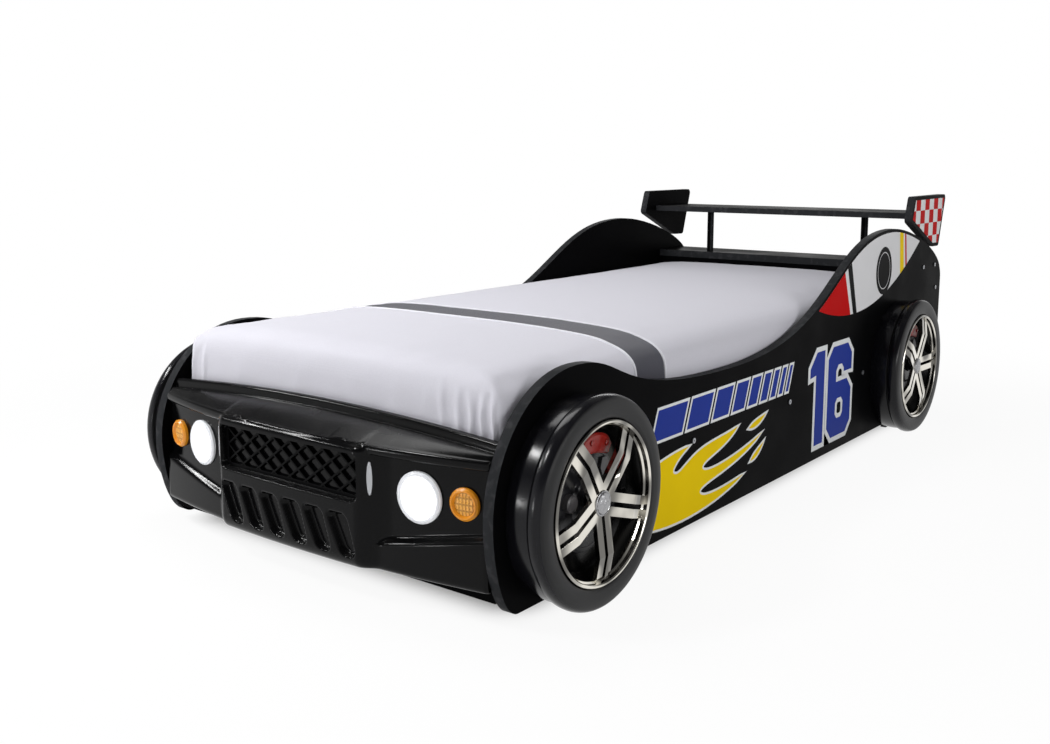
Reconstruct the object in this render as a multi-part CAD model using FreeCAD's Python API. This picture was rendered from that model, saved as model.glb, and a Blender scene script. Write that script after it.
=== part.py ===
"""Racing-car bed for one child, with a 90 x 200 cm mattress. All sizes are in millimetres.

X runs across the bed, and +X is the car's own left side. Y runs along it, with the nose towards -Y.
Z is up, from the floor. While a piece is made, y = 0 is where the mattress space begins, behind the
front board; when it is written, it moves so that the origin is the middle of the bed on the floor.
"""
import FreeCAD, Part
import math
import os

Vector = FreeCAD.Vector

# ---------------------------------------------------------------- driving dimensions
# Mattress and the space round it
mattress_width = 896.0
mattress_length = 1994.0
mattress_gap = 2.5            # between the mattress and each board beside it
mattress_side_height = 138.0  # straight part of the side, up to the round of the top edge
mattress_edge_round = 26.0
mattress_crown = 30.0         # how far the middle stands over the top edge
mattress_end_draw = 10.0      # how far the end faces are drawn in at their corners
core_inset = 9.0              # thickness of the quilted cover round the foam
core_height = 140.0
rest_gap = 0.3                # a loose piece stays this far from what it rests beside

# Boards
board = 22.0
floor_gap = 18.0              # under the side panels
inner_board_bottom = 40.0     # lower edge of the front board, headboard and tail board
front_board_top = 300.0
deck_top = 469.0
tail_gap = 118.0              # between the headboard and the tail board
panel_overhang = 36.0         # side panels stand out behind the tail board

# Outline of a side panel: the car's nose, humps over the wheels and the low belt line
toe_y = 10.0
nose_reach = 58.0
nose_height = 188.0
front_hump_y = 180.0
front_hump_height = 427.0
belt_share = 0.395            # the belt's lowest point, as a share of the mattress length
belt_height = 332.0
rear_hump_before = 254.0      # top of the rear hump, in front of the headboard's face
rear_hump_height = 589.0
shoulder_back = 14.0          # the rear shoulder, measured from the rear edge
shoulder_height = 452.0
shoulder_drop = 37.0          # rounding between the shoulder and the rear edge

# Slatted base
rail_depth = 25.0
rail_height = 44.0
rail_middle = 200.0           # height of the rails' bolts over the floor
beam_width = 40.0
slat_count = 14
slat_width = 70.0
slat_thickness = 16.0
slat_end_gap = 45.0
tape_width = 25.0
tape_thickness = 1.5
tape_inset = 220.0            # tapes, in from the side panels
leg_side = 40.0
leg_count = 3
foot_length = 60.0
foot_inset = 3.0

# Wheels
wheel_height = 190.0          # centre over the floor
front_wheel_y = 160.0
rear_wheel_before = 196.0     # rear wheel's centre, in front of the headboard's face
wheel_depth = 80.0            # from the side panel to the face of the wheel
tyre_radius = 194.5
tread_radius = 188.0
tread_depth = 48.0            # plain tread before the step of the side wall
shoulder_radius = 13.0
rim_radius = 150.0
rim_lip = 7.0
rim_step = 4.0
plastic_wall = 3.0
flange_width = 20.0
spoke_count = 5
spoke_bar = 17.0
spoke_gap = 9.0
spoke_thickness = 9.0
spoke_kink_radius = 95.0
spoke_kink_drop = 9.0         # the spokes at the hub and at the rim lie this far under the kink
front_spoke_angle = -17.0
rear_spoke_angle = 2.0
hub_radius = 24.0
cap_radius = 20.0
cap_height = 6.0
dish_depth = 30.0
column_radius = 16.0
disc_radius = 95.0
disc_thickness = 3.0
caliper_inner = 86.0
caliper_outer = 122.0
caliper_thickness = 13.0
caliper_angle = 46.0
caliper_middle = 80.0
wheel_bolt_radius = 5.0
wheel_bolt_head = 9.0
wheel_bolt_head_height = 6.0

# Bumper: a vacuum-formed shell, bowed in plan, with a bulge in the middle
shell_wall = 3.5
bumper_gap = 0.3
bumper_bottom = 63.0
bay_middle = 72.6             # reach of the lamp bays' curve in front of y = 0, at the middle
bay_end = 33.0
roll_middle = 99.0            # reach of the rolled front edge of the ledge
roll_end = 42.0
roll_bottom = 272.0
roll_height = 21.0
roll_round = 6.0
ledge_rise = 9.0              # the ledge rises towards the mattress
ledge_arch = 18.0             # its rear lip is higher in the middle
lip_height = 17.0
lip_depth = 20.0
bulge_face_inset = 254.5      # side edges of the bulge's face, in from the side panels
bulge_foot_inset = 217.5      # where the bulge meets the bays, in from the side panels
bulge_reach = 105.0
bulge_corner_back = 5.0
bulge_bottom = 66.0
bulge_top = 289.0
skirt_reach = 14.0
ridge_inner = 112.0
ridge_outer = 154.0
recess_margin = 6.0
recess_bottom = 187.5
recess_height = 90.0
recess_depth = 20.0
slot_count = 6
slot_margin = 23.0
slot_width = 36.0
slot_bottom = 84.0
slot_height = 74.0
slot_depth = 14.0
mesh_depth = 6.0
mesh_bar = 4.0
mesh_pitch = 27.0
mesh_angle = 36.0
badge_width = 10.0
badge_height = 61.0
badge_thickness = 2.5
badge_z = 232.0

# Lamps, set square to the curve of the bays
headlight_inset = 144.5       # lamp centres, in from the side panels
headlight_z = 208.5
bezel_radius = 47.0
bezel_height = 8.0
lens_radius = 38.0
lens_gap = 0.5
lens_dome = 3.0
lens_flange = 1.6
lens_press = 2.5              # travel of the lens when it is pushed to switch the light
lamp_wall = 1.5
lamp_depth = 23.0
circuit_depth = 14.0
circuit_thickness = 2.0
cell_radius = 10.0
spring_radius = 7.0
spring_wire = 1.5
lamp_fit = 0.3
indicator_inset = 51.0
indicator_z = 211.5
indicator_radius = 29.0
indicator_lens_radius = 20.0
indicator_height = 10.0
indicator_recess = 5.0

# Rear spoiler
shelf_depth = 200.0
shelf_front = 34.0            # front edge of the shelf, in front of the headboard's face
shelf_thickness = 18.0
shelf_over_hump = 36.0        # top of the shelf over the rear humps
post_radius = 11.0
post_inset = 175.5            # posts, in from the side panels
post_behind = 46.0            # posts behind the headboard's face
plate_round = 13.0
plate_corners = (              # (y, z) measured from the top front edge of the shelf
    (-41.0, 51.0),
    (246.0, 52.0),
    (195.0, -109.0),
    (137.0, -108.0),
    (-67.0, -23.0),
)

# Visible bolts
bolt_radius = 3.0
bolt_head_radius = 6.0
bolt_head_height = 2.5
bolt_socket = 4.0             # across the flats of the hexagon socket
bolt_socket_depth = 1.8
bolt_length = 42.0
bolt_fit = 0.1
rail_bolt_first = 0.305       # first and last bolt of the rail, as shares of the mattress length
rail_bolt_last = 0.782
rail_bolt_count = 3
deck_bolt_inset = 28.0
tail_bolt_z = 385.0

# ---------------------------------------------------------------- places that follow from them
inner_x = mattress_width / 2 + mattress_gap
outer_x = inner_x + board
front_board_back = -shell_wall
front_board_front = front_board_back - board
head_front = mattress_length + 2 * mattress_gap
head_back = head_front + board
tail_front = head_back + tail_gap
tail_back = tail_front + board
panel_rear = tail_back + panel_overhang
deck_bottom = deck_top - board
rail_bottom = rail_middle - rail_height / 2
rail_top = rail_middle + rail_height / 2
rail_inner = inner_x - rail_depth
slat_top = rail_top + slat_thickness
belt_y = belt_share * head_front
rear_hump_y = head_front - rear_hump_before
rear_wheel_y = head_front - rear_wheel_before
bulge_face = inner_x - bulge_face_inset
bulge_foot = inner_x - bulge_foot_inset
recess_half = bulge_face - recess_margin
slot_pitch = (2 * bulge_face - 2 * slot_margin - slot_width) / (slot_count - 1)
headlight_x = inner_x - headlight_inset
indicator_x = inner_x - indicator_inset
post_x = inner_x - post_inset
tape_x = inner_x - tape_inset
shelf_top = rear_hump_height + shelf_over_hump
mattress_bottom = slat_top + rest_gap
mattress_shoulder = mattress_bottom + mattress_side_height
mattress_edge_top = mattress_shoulder + mattress_edge_round
shelf_y0 = head_front - shelf_front
shelf_y1 = shelf_y0 + shelf_depth
shelf_bottom = shelf_top - shelf_thickness
post_y = head_front + post_behind
bumper_half = inner_x - bumper_gap

pieces = {}


# ---------------------------------------------------------------- helpers
def box(x0, x1, y0, y1, z0, z1):
    """A block between two corners."""
    return Part.makeBox(x1 - x0, y1 - y0, z1 - z0, Vector(x0, y0, z0))


def rod(radius, x0, x1, y, z):
    """A round bar along X."""
    return Part.makeCylinder(radius, x1 - x0, Vector(x0, y, z), Vector(1, 0, 0))


def prism(points, travel):
    """A closed polygon, pushed along a vector."""
    return Part.Face(Part.makePolygon(points + [points[0]])).extrude(travel)


def turned(profile, start=(0, 0)):
    """A polygon of (distance along X, radius) pairs, turned about the X axis."""
    points = [Vector(x, 0, r) for x, r in profile]
    face = Part.Face(Part.makePolygon(points + [points[0]]))
    return face.revolve(Vector(0, 0, 0), Vector(1, 0, 0), 360)


def tube_x(outer, inner, x0, x1):
    """A round tube about the X axis."""
    return turned([(x0, inner), (x1, inner), (x1, outer), (x0, outer)])


def mirrored(shape):
    """The same piece on the other side of the bed."""
    return shape.mirror(Vector(0, 0, 0), Vector(1, 0, 0))


def arc_edge(a, b, c):
    """An arc through three points."""
    return Part.Arc(a, b, c).toShape()


def line_edge(a, b):
    return Part.LineSegment(a, b).toShape()


def bezier_edge(*points):
    curve = Part.BezierCurve()
    curve.setPoles(list(points))
    return curve.toShape()


def rounded_outline(corners, radius):
    """A closed outline in the YZ plane whose corners are rounded with arcs."""
    points = [Vector(0, y, z) for y, z in corners]
    edges = []
    joints = []
    for i, corner in enumerate(points):
        to_last = (points[i - 1] - corner).normalize()
        to_next = (points[(i + 1) % len(points)] - corner).normalize()
        half = to_last.getAngle(to_next) / 2
        cut = radius / math.tan(half)
        middle = (to_last + to_next).normalize()
        deepest = corner + middle * (radius / math.sin(half) - radius)
        joints.append((corner + to_last * cut, deepest, corner + to_next * cut))
    for i, (start, deepest, end) in enumerate(joints):
        edges.append(arc_edge(start, deepest, end))
        edges.append(line_edge(end, joints[(i + 1) % len(joints)][0]))
    return Part.Face(Part.Wire(edges))


def add(name, shape):
    """Keeps a piece under its name."""
    pieces[name] = shape


def add_pair(name, shape):
    """Keeps a piece for the car's left side, and its mirror image for the right side."""
    pieces[name + "_left"] = shape
    pieces[name + "_right"] = mirrored(shape)


# ---------------------------------------------------------------- side panels
def panel_bolt_places():
    """Places (y, z) of the visible bolts of one side panel."""
    first = rail_bolt_first * mattress_length
    pitch = (rail_bolt_last - rail_bolt_first) * mattress_length / (rail_bolt_count - 1)
    rail = [(first + i * pitch, rail_middle) for i in range(rail_bolt_count)]
    deck_z = deck_top - board / 2
    deck = [(head_front + deck_bolt_inset, deck_z), (tail_back - deck_bolt_inset, deck_z)]
    tail = [(tail_back - board / 2, tail_bolt_z)]
    return rail + deck + tail


def bolt_holes():
    """The bores for the bolts of the left panel."""
    radius = bolt_radius + bolt_fit
    reach = bolt_length + bolt_fit
    holes = [rod(radius, outer_x - reach, outer_x + 1, y, z) for y, z in panel_bolt_places()]
    wide = wheel_bolt_radius + bolt_fit
    for y in (front_wheel_y, rear_wheel_y):
        holes.append(rod(wide, rail_inner - 1, outer_x + 1, y, wheel_height))
    return holes


def side_panel():
    """One board, cut to the outline of a racing car."""
    def at(y, z):
        return Vector(inner_x, y, z)

    toe = at(toe_y, floor_gap)
    nose = at(-nose_reach, nose_height)
    front_hump = at(front_hump_y, front_hump_height)
    belt = at(belt_y, belt_height)
    rear_hump = at(rear_hump_y, rear_hump_height)
    shoulder = at(panel_rear - shoulder_back, shoulder_height)
    rear_top = at(panel_rear, shoulder_height - shoulder_drop)
    rear_bottom = at(panel_rear, floor_gap)

    forward = Vector(0, 1, 0)
    up = Vector(0, 0, 1)
    slope = Vector(0, 0.5, -0.87)
    edges = [
        bezier_edge(toe, toe - forward * 42, nose - up * 70, nose),
        bezier_edge(nose, nose + up * 124, front_hump - forward * 139, front_hump),
        bezier_edge(front_hump, front_hump + forward * 170, belt - forward * 498, belt),
        bezier_edge(belt, belt + forward * 560, rear_hump - forward * 398, rear_hump),
        bezier_edge(rear_hump, rear_hump + forward * 155, shoulder - slope * 67, shoulder),
        bezier_edge(shoulder, shoulder + slope * 14, rear_top + up * 16, rear_top),
        line_edge(rear_top, rear_bottom),
        line_edge(rear_bottom, toe),
    ]
    panel = Part.Face(Part.Wire(edges)).extrude(Vector(board, 0, 0))
    return panel.cut(bolt_holes())


def hex_socket(y, z):
    """The hexagon hole in the head of a bolt."""
    corner = bolt_socket / math.sqrt(3)
    floor = outer_x + bolt_head_height - bolt_socket_depth
    turns = [math.radians(60 * i) for i in range(6)]
    points = [Vector(floor, y + corner * math.cos(a), z + corner * math.sin(a)) for a in turns]
    return prism(points, Vector(bolt_socket_depth + 1, 0, 0))


def panel_bolts():
    """Bolts with round heads, through both side panels."""
    bolts = []
    for y, z in panel_bolt_places():
        shank = rod(bolt_radius, outer_x - bolt_length, outer_x, y, z)
        head = rod(bolt_head_radius, outer_x, outer_x + bolt_head_height, y, z)
        bolt = shank.fuse(head).removeSplitter().cut(hex_socket(y, z))
        bolts += [bolt, mirrored(bolt)]
    return Part.makeCompound(bolts)


# ---------------------------------------------------------------- cross boards and slatted base
def cross_board(y0, z0, z1):
    """A board across the bed, between the side panels."""
    return box(-inner_x, inner_x, y0, y0 + board, z0, z1)


def bored_for_bolts(shape):
    """A cross piece or rail, with the holes of the bolts that go into it."""
    holes = bolt_holes()
    return shape.cut(holes + [mirrored(hole) for hole in holes])


def slat_rail():
    rail = box(rail_inner, inner_x, front_board_back, head_front, rail_bottom, rail_top)
    return rail.cut(bolt_holes())


def center_beam():
    half = beam_width / 2
    return box(-half, half, front_board_back, head_front, rail_bottom, rail_top)


def center_legs():
    half = leg_side / 2
    step = mattress_length / (leg_count + 1)
    places = [step * (i + 1) for i in range(leg_count)]
    return Part.makeCompound([box(-half, half, y - half, y + half, 0, rail_bottom) for y in places])


def corner_feet():
    """Feet under the side panels, behind the wheels."""
    feet = []
    for y in (front_wheel_y, rear_wheel_y):
        x0 = inner_x + foot_inset
        x1 = outer_x - foot_inset
        foot = box(x0, x1, y - foot_length / 2, y + foot_length / 2, 0, floor_gap)
        feet += [foot, mirrored(foot)]
    return Part.makeCompound(feet)


def slats():
    half = mattress_width / 2
    first = slat_end_gap
    step = (mattress_length - 2 * slat_end_gap - slat_width) / (slat_count - 1)
    rows = [first + i * step for i in range(slat_count)]
    return Part.makeCompound([box(-half, half, y, y + slat_width, rail_top, slat_top) for y in rows])


def slat_tapes():
    """Two webbing tapes under the slats."""
    y1 = mattress_length - slat_end_gap
    z0 = rail_top - tape_thickness
    half = tape_width / 2
    tape = box(tape_x - half, tape_x + half, slat_end_gap, y1, z0, rail_top)
    return Part.makeCompound([tape, mirrored(tape)])


# ---------------------------------------------------------------- mattress
def mattress_section(y, draw, drop):
    """The crowned outline of the mattress at y; draw narrows it and drop lowers its top."""
    half = mattress_width / 2 - draw
    inner = half - mattress_edge_round
    low = mattress_bottom
    side = mattress_shoulder - drop
    edge = mattress_edge_top - drop
    r = mattress_edge_round
    turn = r * (1 - math.sqrt(0.5))
    crown = edge + mattress_crown

    def at(x, z):
        return Vector(x, y, z)

    return Part.Wire([
        line_edge(at(-half, low), at(half, low)),
        line_edge(at(half, low), at(half, side)),
        arc_edge(at(half, side), at(half - turn, side + r - turn), at(inner, edge)),
        arc_edge(at(inner, edge), at(0, crown), at(-inner, edge)),
        arc_edge(at(-inner, edge), at(-half + turn, side + r - turn), at(-half, side)),
        line_edge(at(-half, side), at(-half, low)),
    ])


def mattress_core():
    """The foam block inside the cover."""
    half = mattress_width / 2 - core_inset - mattress_end_draw
    y0 = mattress_gap + core_inset
    y1 = mattress_gap + mattress_length - core_inset
    return box(-half, half, y0, y1, mattress_bottom, mattress_bottom + core_height)


def mattress_cover():
    """The quilted cover: a crowned cushion form, open below round the foam."""
    y0 = mattress_gap
    y1 = mattress_gap + mattress_length
    run = 2 * mattress_edge_round
    sections = [
        mattress_section(y0, mattress_end_draw, mattress_edge_round),
        mattress_section(y0 + run, 0, 0),
        mattress_section(y1 - run, 0, 0),
        mattress_section(y1, mattress_end_draw, mattress_edge_round / 2),
    ]
    body = Part.makeLoft(sections, True, True)
    return body.cut(mattress_core())


# ---------------------------------------------------------------- bumper
def bow(x, middle, end):
    """Reach in front of y = 0 of a circular bow, and its angle there, in degrees."""
    rise = middle - end
    radius = (inner_x ** 2 + rise ** 2) / (2 * rise)
    reach = middle - (radius - math.sqrt(radius ** 2 - x ** 2))
    return reach, math.degrees(math.asin(x / radius))


def bowed_block(middle, end, half, back, z0, z1):
    """A block whose front is bowed in plan."""
    reach = bow(half, middle, end)[0]
    left = Vector(-half, -reach, z0)
    right = Vector(half, -reach, z0)
    back_right = Vector(half, -back, z0)
    back_left = Vector(-half, -back, z0)
    front = arc_edge(left, Vector(0, -middle, z0), right)
    sides = [line_edge(right, back_right), line_edge(back_right, back_left), line_edge(back_left, left)]
    return Part.Face(Part.Wire([front] + sides)).extrude(Vector(0, 0, z1 - z0))


def ledge_section(x, wall):
    """Outline of the ledge at x: its rolled front edge, its slope and the lip at the mattress."""
    reach = bow(x, roll_middle, roll_end)[0] - wall
    arch = ledge_arch * (1 - (x / inner_x) ** 2)
    low = roll_bottom + wall
    roll_top = roll_bottom + roll_height - wall
    slope_top = roll_top + ledge_rise + arch
    lip_top = slope_top + lip_height

    def at(y, z):
        return Vector(x, y, z)

    front_low = at(-reach + roll_round, low)
    front = at(-reach, (low + roll_top) / 2)
    front_high = at(-reach + roll_round, roll_top)
    groove = at(-lip_depth, slope_top)
    step = at(-lip_depth + 3, lip_top - 4)
    lip = at(-wall - 5, lip_top)
    rear_top = at(-wall, lip_top - 3)
    rear_low = at(-wall, low)
    points = [front_high, groove, step, lip, rear_top, rear_low, front_low]
    lines = [line_edge(a, b) for a, b in zip(points, points[1:])]
    return Part.Wire([arc_edge(front_low, front, front_high)] + lines)


def ledge(wall):
    half = bumper_half - wall
    stations = [-half, -half / 2, 0, half / 2, half]
    return Part.makeLoft([ledge_section(x, wall) for x in stations], True, False)


def bulge(wall, bottom):
    """The middle part, which stands in front of the lamp bays."""
    face = bulge_face - wall / 2
    foot = bulge_foot - wall
    corner = -(bulge_reach - bulge_corner_back - wall)
    foot_y = -(bow(bulge_foot, bay_middle, bay_end)[0] - 2 * wall)
    back = -bay_end + wall
    tip = Vector(0, -bulge_reach + wall, bottom)
    a = Vector(-face, corner, bottom)
    b = Vector(face, corner, bottom)
    c = Vector(foot, foot_y, bottom)
    d = Vector(foot, back, bottom)
    e = Vector(-foot, back, bottom)
    f = Vector(-foot, foot_y, bottom)
    edges = [arc_edge(a, tip, b)] + [line_edge(p, q) for p, q in ((b, c), (c, d), (d, e), (e, f), (f, a))]
    return Part.Face(Part.Wire(edges)).extrude(Vector(0, 0, bulge_top - wall - bottom))


def skirts(wall, bottom):
    """The lower part of each bay stands out below a ridge that rises outwards."""
    outer = bumper_half - wall
    corners = [
        Vector(-outer, 0, bottom), Vector(outer, 0, bottom), Vector(outer, 0, ridge_outer - wall),
        Vector(bulge_foot, 0, ridge_inner - wall), Vector(-bulge_foot, 0, ridge_inner - wall),
        Vector(-outer, 0, ridge_outer - wall),
    ]
    front_view = prism(corners, Vector(0, -bulge_reach, 0))
    plan = bowed_block(bay_middle + skirt_reach - wall, bay_end + skirt_reach - wall, outer, 0,
                       bottom, roll_bottom)
    plan = plan.cut(box(-outer, outer, front_board_front, 1, bottom - 1, roll_bottom + 1))
    return front_view.common(plan)


def recess(wall):
    """Space of the grille recess, grown by a wall for the inside of the shell."""
    x = recess_half + wall
    floor = -(bulge_reach - bulge_corner_back - recess_depth) + wall
    top = recess_bottom + recess_height + wall
    return box(-x, x, -bulge_reach - 1, floor, recess_bottom - wall, top)


def slots(wall):
    """Upright slots with round ends, below the grille."""
    radius = slot_width / 2 + wall
    floor = -(bulge_reach - bulge_corner_back - slot_depth) + wall
    depth = floor + bulge_reach + 1
    start = -(slot_count - 1) / 2 * slot_pitch
    low = slot_bottom + slot_width / 2
    high = slot_bottom + slot_height - slot_width / 2
    made = []
    for i in range(slot_count):
        x = start + i * slot_pitch
        outward = Vector(0, -1, 0)
        made.append(Part.makeCylinder(radius, depth, Vector(x, floor, low), outward))
        made.append(Part.makeCylinder(radius, depth, Vector(x, floor, high), outward))
        made.append(box(x - radius, x + radius, floor - depth, floor, low, high))
    return made


def bumper_form(wall):
    """The solid form of the bumper, made smaller by a wall for its hollow."""
    bottom = bumper_bottom - (1 if wall else 0)
    low = bulge_bottom if not wall else bottom
    back = shell_wall if wall else -front_board_front
    half = bumper_half - wall
    body = bowed_block(bay_middle - wall, bay_end - wall, half, back, bottom, roll_bottom + wall + 0.5)
    form = body.fuse([ledge(wall), bulge(wall, low), skirts(wall, bottom)])
    return form.cut([recess(wall)] + slots(wall))


def front_board_block():
    return cross_board(front_board_front, inner_board_bottom, front_board_top)


def bumper_shell():
    """The vacuum-formed shell, open at the bottom and at the back, with a hole for each lamp."""
    holes = [front_board_block()]
    for x, z, radius in (
        (headlight_x, headlight_z, bezel_hole),
        (indicator_x, indicator_z, indicator_hole),
    ):
        hole = on_bay(x, z, tube_solid(radius, -3 * shell_wall, shell_wall))
        holes += [hole, mirrored(hole)]
    hollow = bumper_form(shell_wall).fuse(
        box(-bulge_foot + shell_wall, bulge_foot - shell_wall, -bay_end, -shell_wall,
            bumper_bottom - 1, roll_bottom))
    return bumper_form(0).cut(hollow).cut(holes)


def grille_mesh():
    """A diamond mesh on the floor of the recess: one face with holes, pushed out."""
    floor = -(bulge_reach - bulge_corner_back - recess_depth)
    z0 = recess_bottom
    z1 = recess_bottom + recess_height
    frame = box(-recess_half, recess_half, floor - mesh_depth, floor, z0, z1)
    rim = 2 * mesh_bar
    window = box(-recess_half + rim, recess_half - rim, floor - mesh_depth, floor, z0 + rim, z1 - rim)
    reach = recess_half + recess_height
    bars = []
    count = int(reach / mesh_pitch)
    for turn in (mesh_angle, -mesh_angle):
        across = mesh_pitch / math.sin(math.radians(abs(turn)))
        for i in range(-count, count + 1):
            x = i * across
            if abs(x) > reach:
                continue
            bar = box(-reach, reach, floor - mesh_depth, floor, -mesh_bar / 2, mesh_bar / 2)
            bar.rotate(Vector(0, 0, 0), Vector(0, 1, 0), turn)
            bar.translate(Vector(x, 0, (z0 + z1) / 2))
            bars.append(bar)
    lattice = bars[0].fuse(bars[1:]).common(window)
    return frame.cut(window).fuse(lattice).removeSplitter()


def side_badges():
    """A plain oval on each slanted side of the bulge."""
    corner = Vector(bulge_face, -(bulge_reach - bulge_corner_back), badge_z)
    foot = Vector(bulge_foot, -bow(bulge_foot, bay_middle, bay_end)[0], badge_z)
    along = (foot - corner).normalize()
    outward = Vector(-along.y, along.x, 0) * -1
    centre = corner + (foot - corner) * 0.42
    oval = Part.Ellipse(Vector(0, 0, 0), badge_height / 2, badge_width / 2).toShape()
    disc = Part.Face(Part.Wire(oval)).extrude(Vector(0, 0, badge_thickness))
    turn = FreeCAD.Matrix(
        0, along.x, outward.x, centre.x,
        0, along.y, outward.y, centre.y,
        1, 0, 0, centre.z,
        0, 0, 0, 1)
    badge = disc.transformGeometry(turn)
    return Part.makeCompound([badge, mirrored(badge)])


# ---------------------------------------------------------------- lamps
bezel_hole = lens_radius + lens_gap + 2 * lamp_wall + 2 * lamp_fit
indicator_hole = indicator_lens_radius + lamp_wall + lamp_fit


def tube_solid(radius, s0, s1):
    """A disc about the lamp axis, from s0 to s1 in front of the shell's surface."""
    return turned([(s0, 0), (s1, 0), (s1, radius), (s0, radius)])


def on_bay(x, z, shape):
    """Sets a lamp piece, made along +X, square on the curve of the left bay."""
    reach, lean = bow(x, bay_middle, bay_end)
    placed = shape.copy()
    placed.rotate(Vector(0, 0, 0), Vector(0, 0, 1), lean - 90)
    placed.translate(Vector(x, -reach, z))
    return placed


def headlight_pieces():
    """The pieces of the left headlight, along their own axis: s = 0 is the shell's surface."""
    sleeve = lens_radius + lens_gap
    cup_inner = sleeve + lamp_wall + lamp_fit / 2
    cup_outer = cup_inner + lamp_wall
    stop = -(lens_flange + 1.4)
    bezel = turned([
        (lamp_fit, bezel_radius), (bezel_height - 3, bezel_radius), (bezel_height, bezel_radius - 4),
        (bezel_height, sleeve + 1.5), (bezel_height - 1.5, sleeve), (stop + lamp_fit, sleeve),
        (stop + lamp_fit, sleeve + lamp_wall), (lamp_fit, sleeve + lamp_wall),
    ])
    housing = turned([
        (-lamp_depth, 0), (-lamp_depth, cup_outer), (lamp_fit, cup_outer), (lamp_fit, cup_inner),
        (-lamp_depth + lamp_wall, cup_inner), (-lamp_depth + lamp_wall, 0),
    ])
    lens = turned([
        (stop - 2, 0), (stop - 2, sleeve + lens_flange / 2), (stop, sleeve + lens_flange / 2),
        (stop, lens_radius), (bezel_height - 2, lens_radius),
        (bezel_height - 2 + lens_dome * 0.6, lens_radius * 0.7), (bezel_height - 2 + lens_dome, 0),
    ])
    board_back = -circuit_depth - circuit_thickness
    plate = tube_solid(cup_inner - lamp_fit / 2, board_back, -circuit_depth)
    cells = tube_solid(cell_radius, -lamp_depth + lamp_wall, board_back)
    spring = tube_x(spring_radius, spring_radius - spring_wire, -circuit_depth, stop - 2)
    return {
        "headlight_bezel": bezel,
        "headlight_housing": housing,
        "headlight_lens": lens,
        "headlight_circuit": Part.makeCompound([plate, cells]),
        "headlight_spring": spring,
    }


def indicator_pieces():
    """The pieces of the left indicator, along their own axis."""
    sleeve = indicator_lens_radius + lamp_fit
    ring = turned([
        (lamp_fit, indicator_radius), (indicator_height - 4, indicator_radius),
        (indicator_height, indicator_radius - 4), (indicator_height, indicator_radius - 6),
        (indicator_height - indicator_recess, sleeve), (-shell_wall, sleeve),
        (-shell_wall, sleeve + lamp_wall - lamp_fit), (lamp_fit, sleeve + lamp_wall - lamp_fit),
    ])
    face = indicator_height - indicator_recess
    lens = turned([
        (-shell_wall, 0), (-shell_wall, indicator_lens_radius), (face, indicator_lens_radius),
        (face + 1.5, 0),
    ])
    return {"indicator_ring": ring, "indicator_lens": lens}


# ---------------------------------------------------------------- wheels
def tyre_profile(wall):
    """Profile (depth, radius) of a tyre, made smaller by a wall for its hollow."""
    face = wheel_depth - wall
    start = wall if wall else 0
    tread = tread_radius - wall
    outer = tyre_radius - wall
    bead = rim_radius + wall
    step = 4.0
    r = shoulder_radius
    turn = r * (1 - math.sqrt(0.5))

    def at(x, radius):
        return Vector(x, 0, radius)

    round_start = at(face - r, outer)
    round_middle = at(face - turn, outer - turn)
    round_end = at(face, outer - r)
    wall_in = at(face - rim_lip / 2, bead)
    points = [wall_in, at(start, bead), at(start, tread), at(tread_depth, tread),
              at(tread_depth + step, outer), round_start]
    lines = [line_edge(a, b) for a, b in zip(points, points[1:])]
    return Part.Wire(lines + [arc_edge(round_start, round_middle, round_end), line_edge(round_end, wall_in)])


def tyre():
    """A hollow moulded tyre with a flat where it stands, and a flange against the side panel."""
    def solid(wall):
        body = Part.Face(tyre_profile(wall)).revolve(Vector(0, 0, 0), Vector(1, 0, 0), 360)
        reach = 2 * tyre_radius
        below = box(-1, wheel_depth + 1, -reach, reach, -reach, -wheel_height + wall)
        return body.cut(below)

    flange_inner = tread_radius - plastic_wall - flange_width
    back = tube_x(flange_inner, rim_radius + plastic_wall, -1, plastic_wall + 1)
    return solid(0).cut(solid(plastic_wall)).cut(back)


def spoke_bars():
    """One pair of spoke bars, pointing along +Y."""
    top = wheel_depth
    low = top - spoke_kink_drop
    inner = hub_radius - 4
    outer = rim_radius - rim_lip
    t = spoke_thickness
    profile = [(inner, low - t), (spoke_kink_radius, top - t), (outer, low - t),
               (outer, low), (spoke_kink_radius, top), (inner, low)]
    side = [Vector(x, r, spoke_gap / 2) for r, x in profile]
    bar = prism(side, Vector(0, 0, spoke_bar))
    return [bar, bar.mirror(Vector(0, 0, 0), Vector(0, 0, 1))]


def wheel_rim(angle):
    """Chrome ring, five double spokes and the hub."""
    low = wheel_depth - spoke_kink_drop
    ring = turned([
        (low - spoke_thickness, rim_radius - rim_lip - rim_step), (low - 3, rim_radius - rim_lip - rim_step),
        (low - 1, rim_radius - rim_lip), (wheel_depth - 2, rim_radius - rim_lip),
        (wheel_depth, rim_radius - rim_lip + 2), (wheel_depth, rim_radius - 2),
        (wheel_depth - 2, rim_radius), (low - spoke_thickness, rim_radius),
    ])
    hub = tube_x(hub_radius, wheel_bolt_radius + bolt_fit, low - spoke_thickness - 3, low)
    bars = []
    for i in range(spoke_count):
        for bar in spoke_bars():
            turned_bar = bar.copy()
            turned_bar.rotate(Vector(0, 0, 0), Vector(1, 0, 0), angle + i * 360 / spoke_count)
            bars.append(turned_bar)
    return ring.fuse([hub] + bars).removeSplitter()


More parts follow.
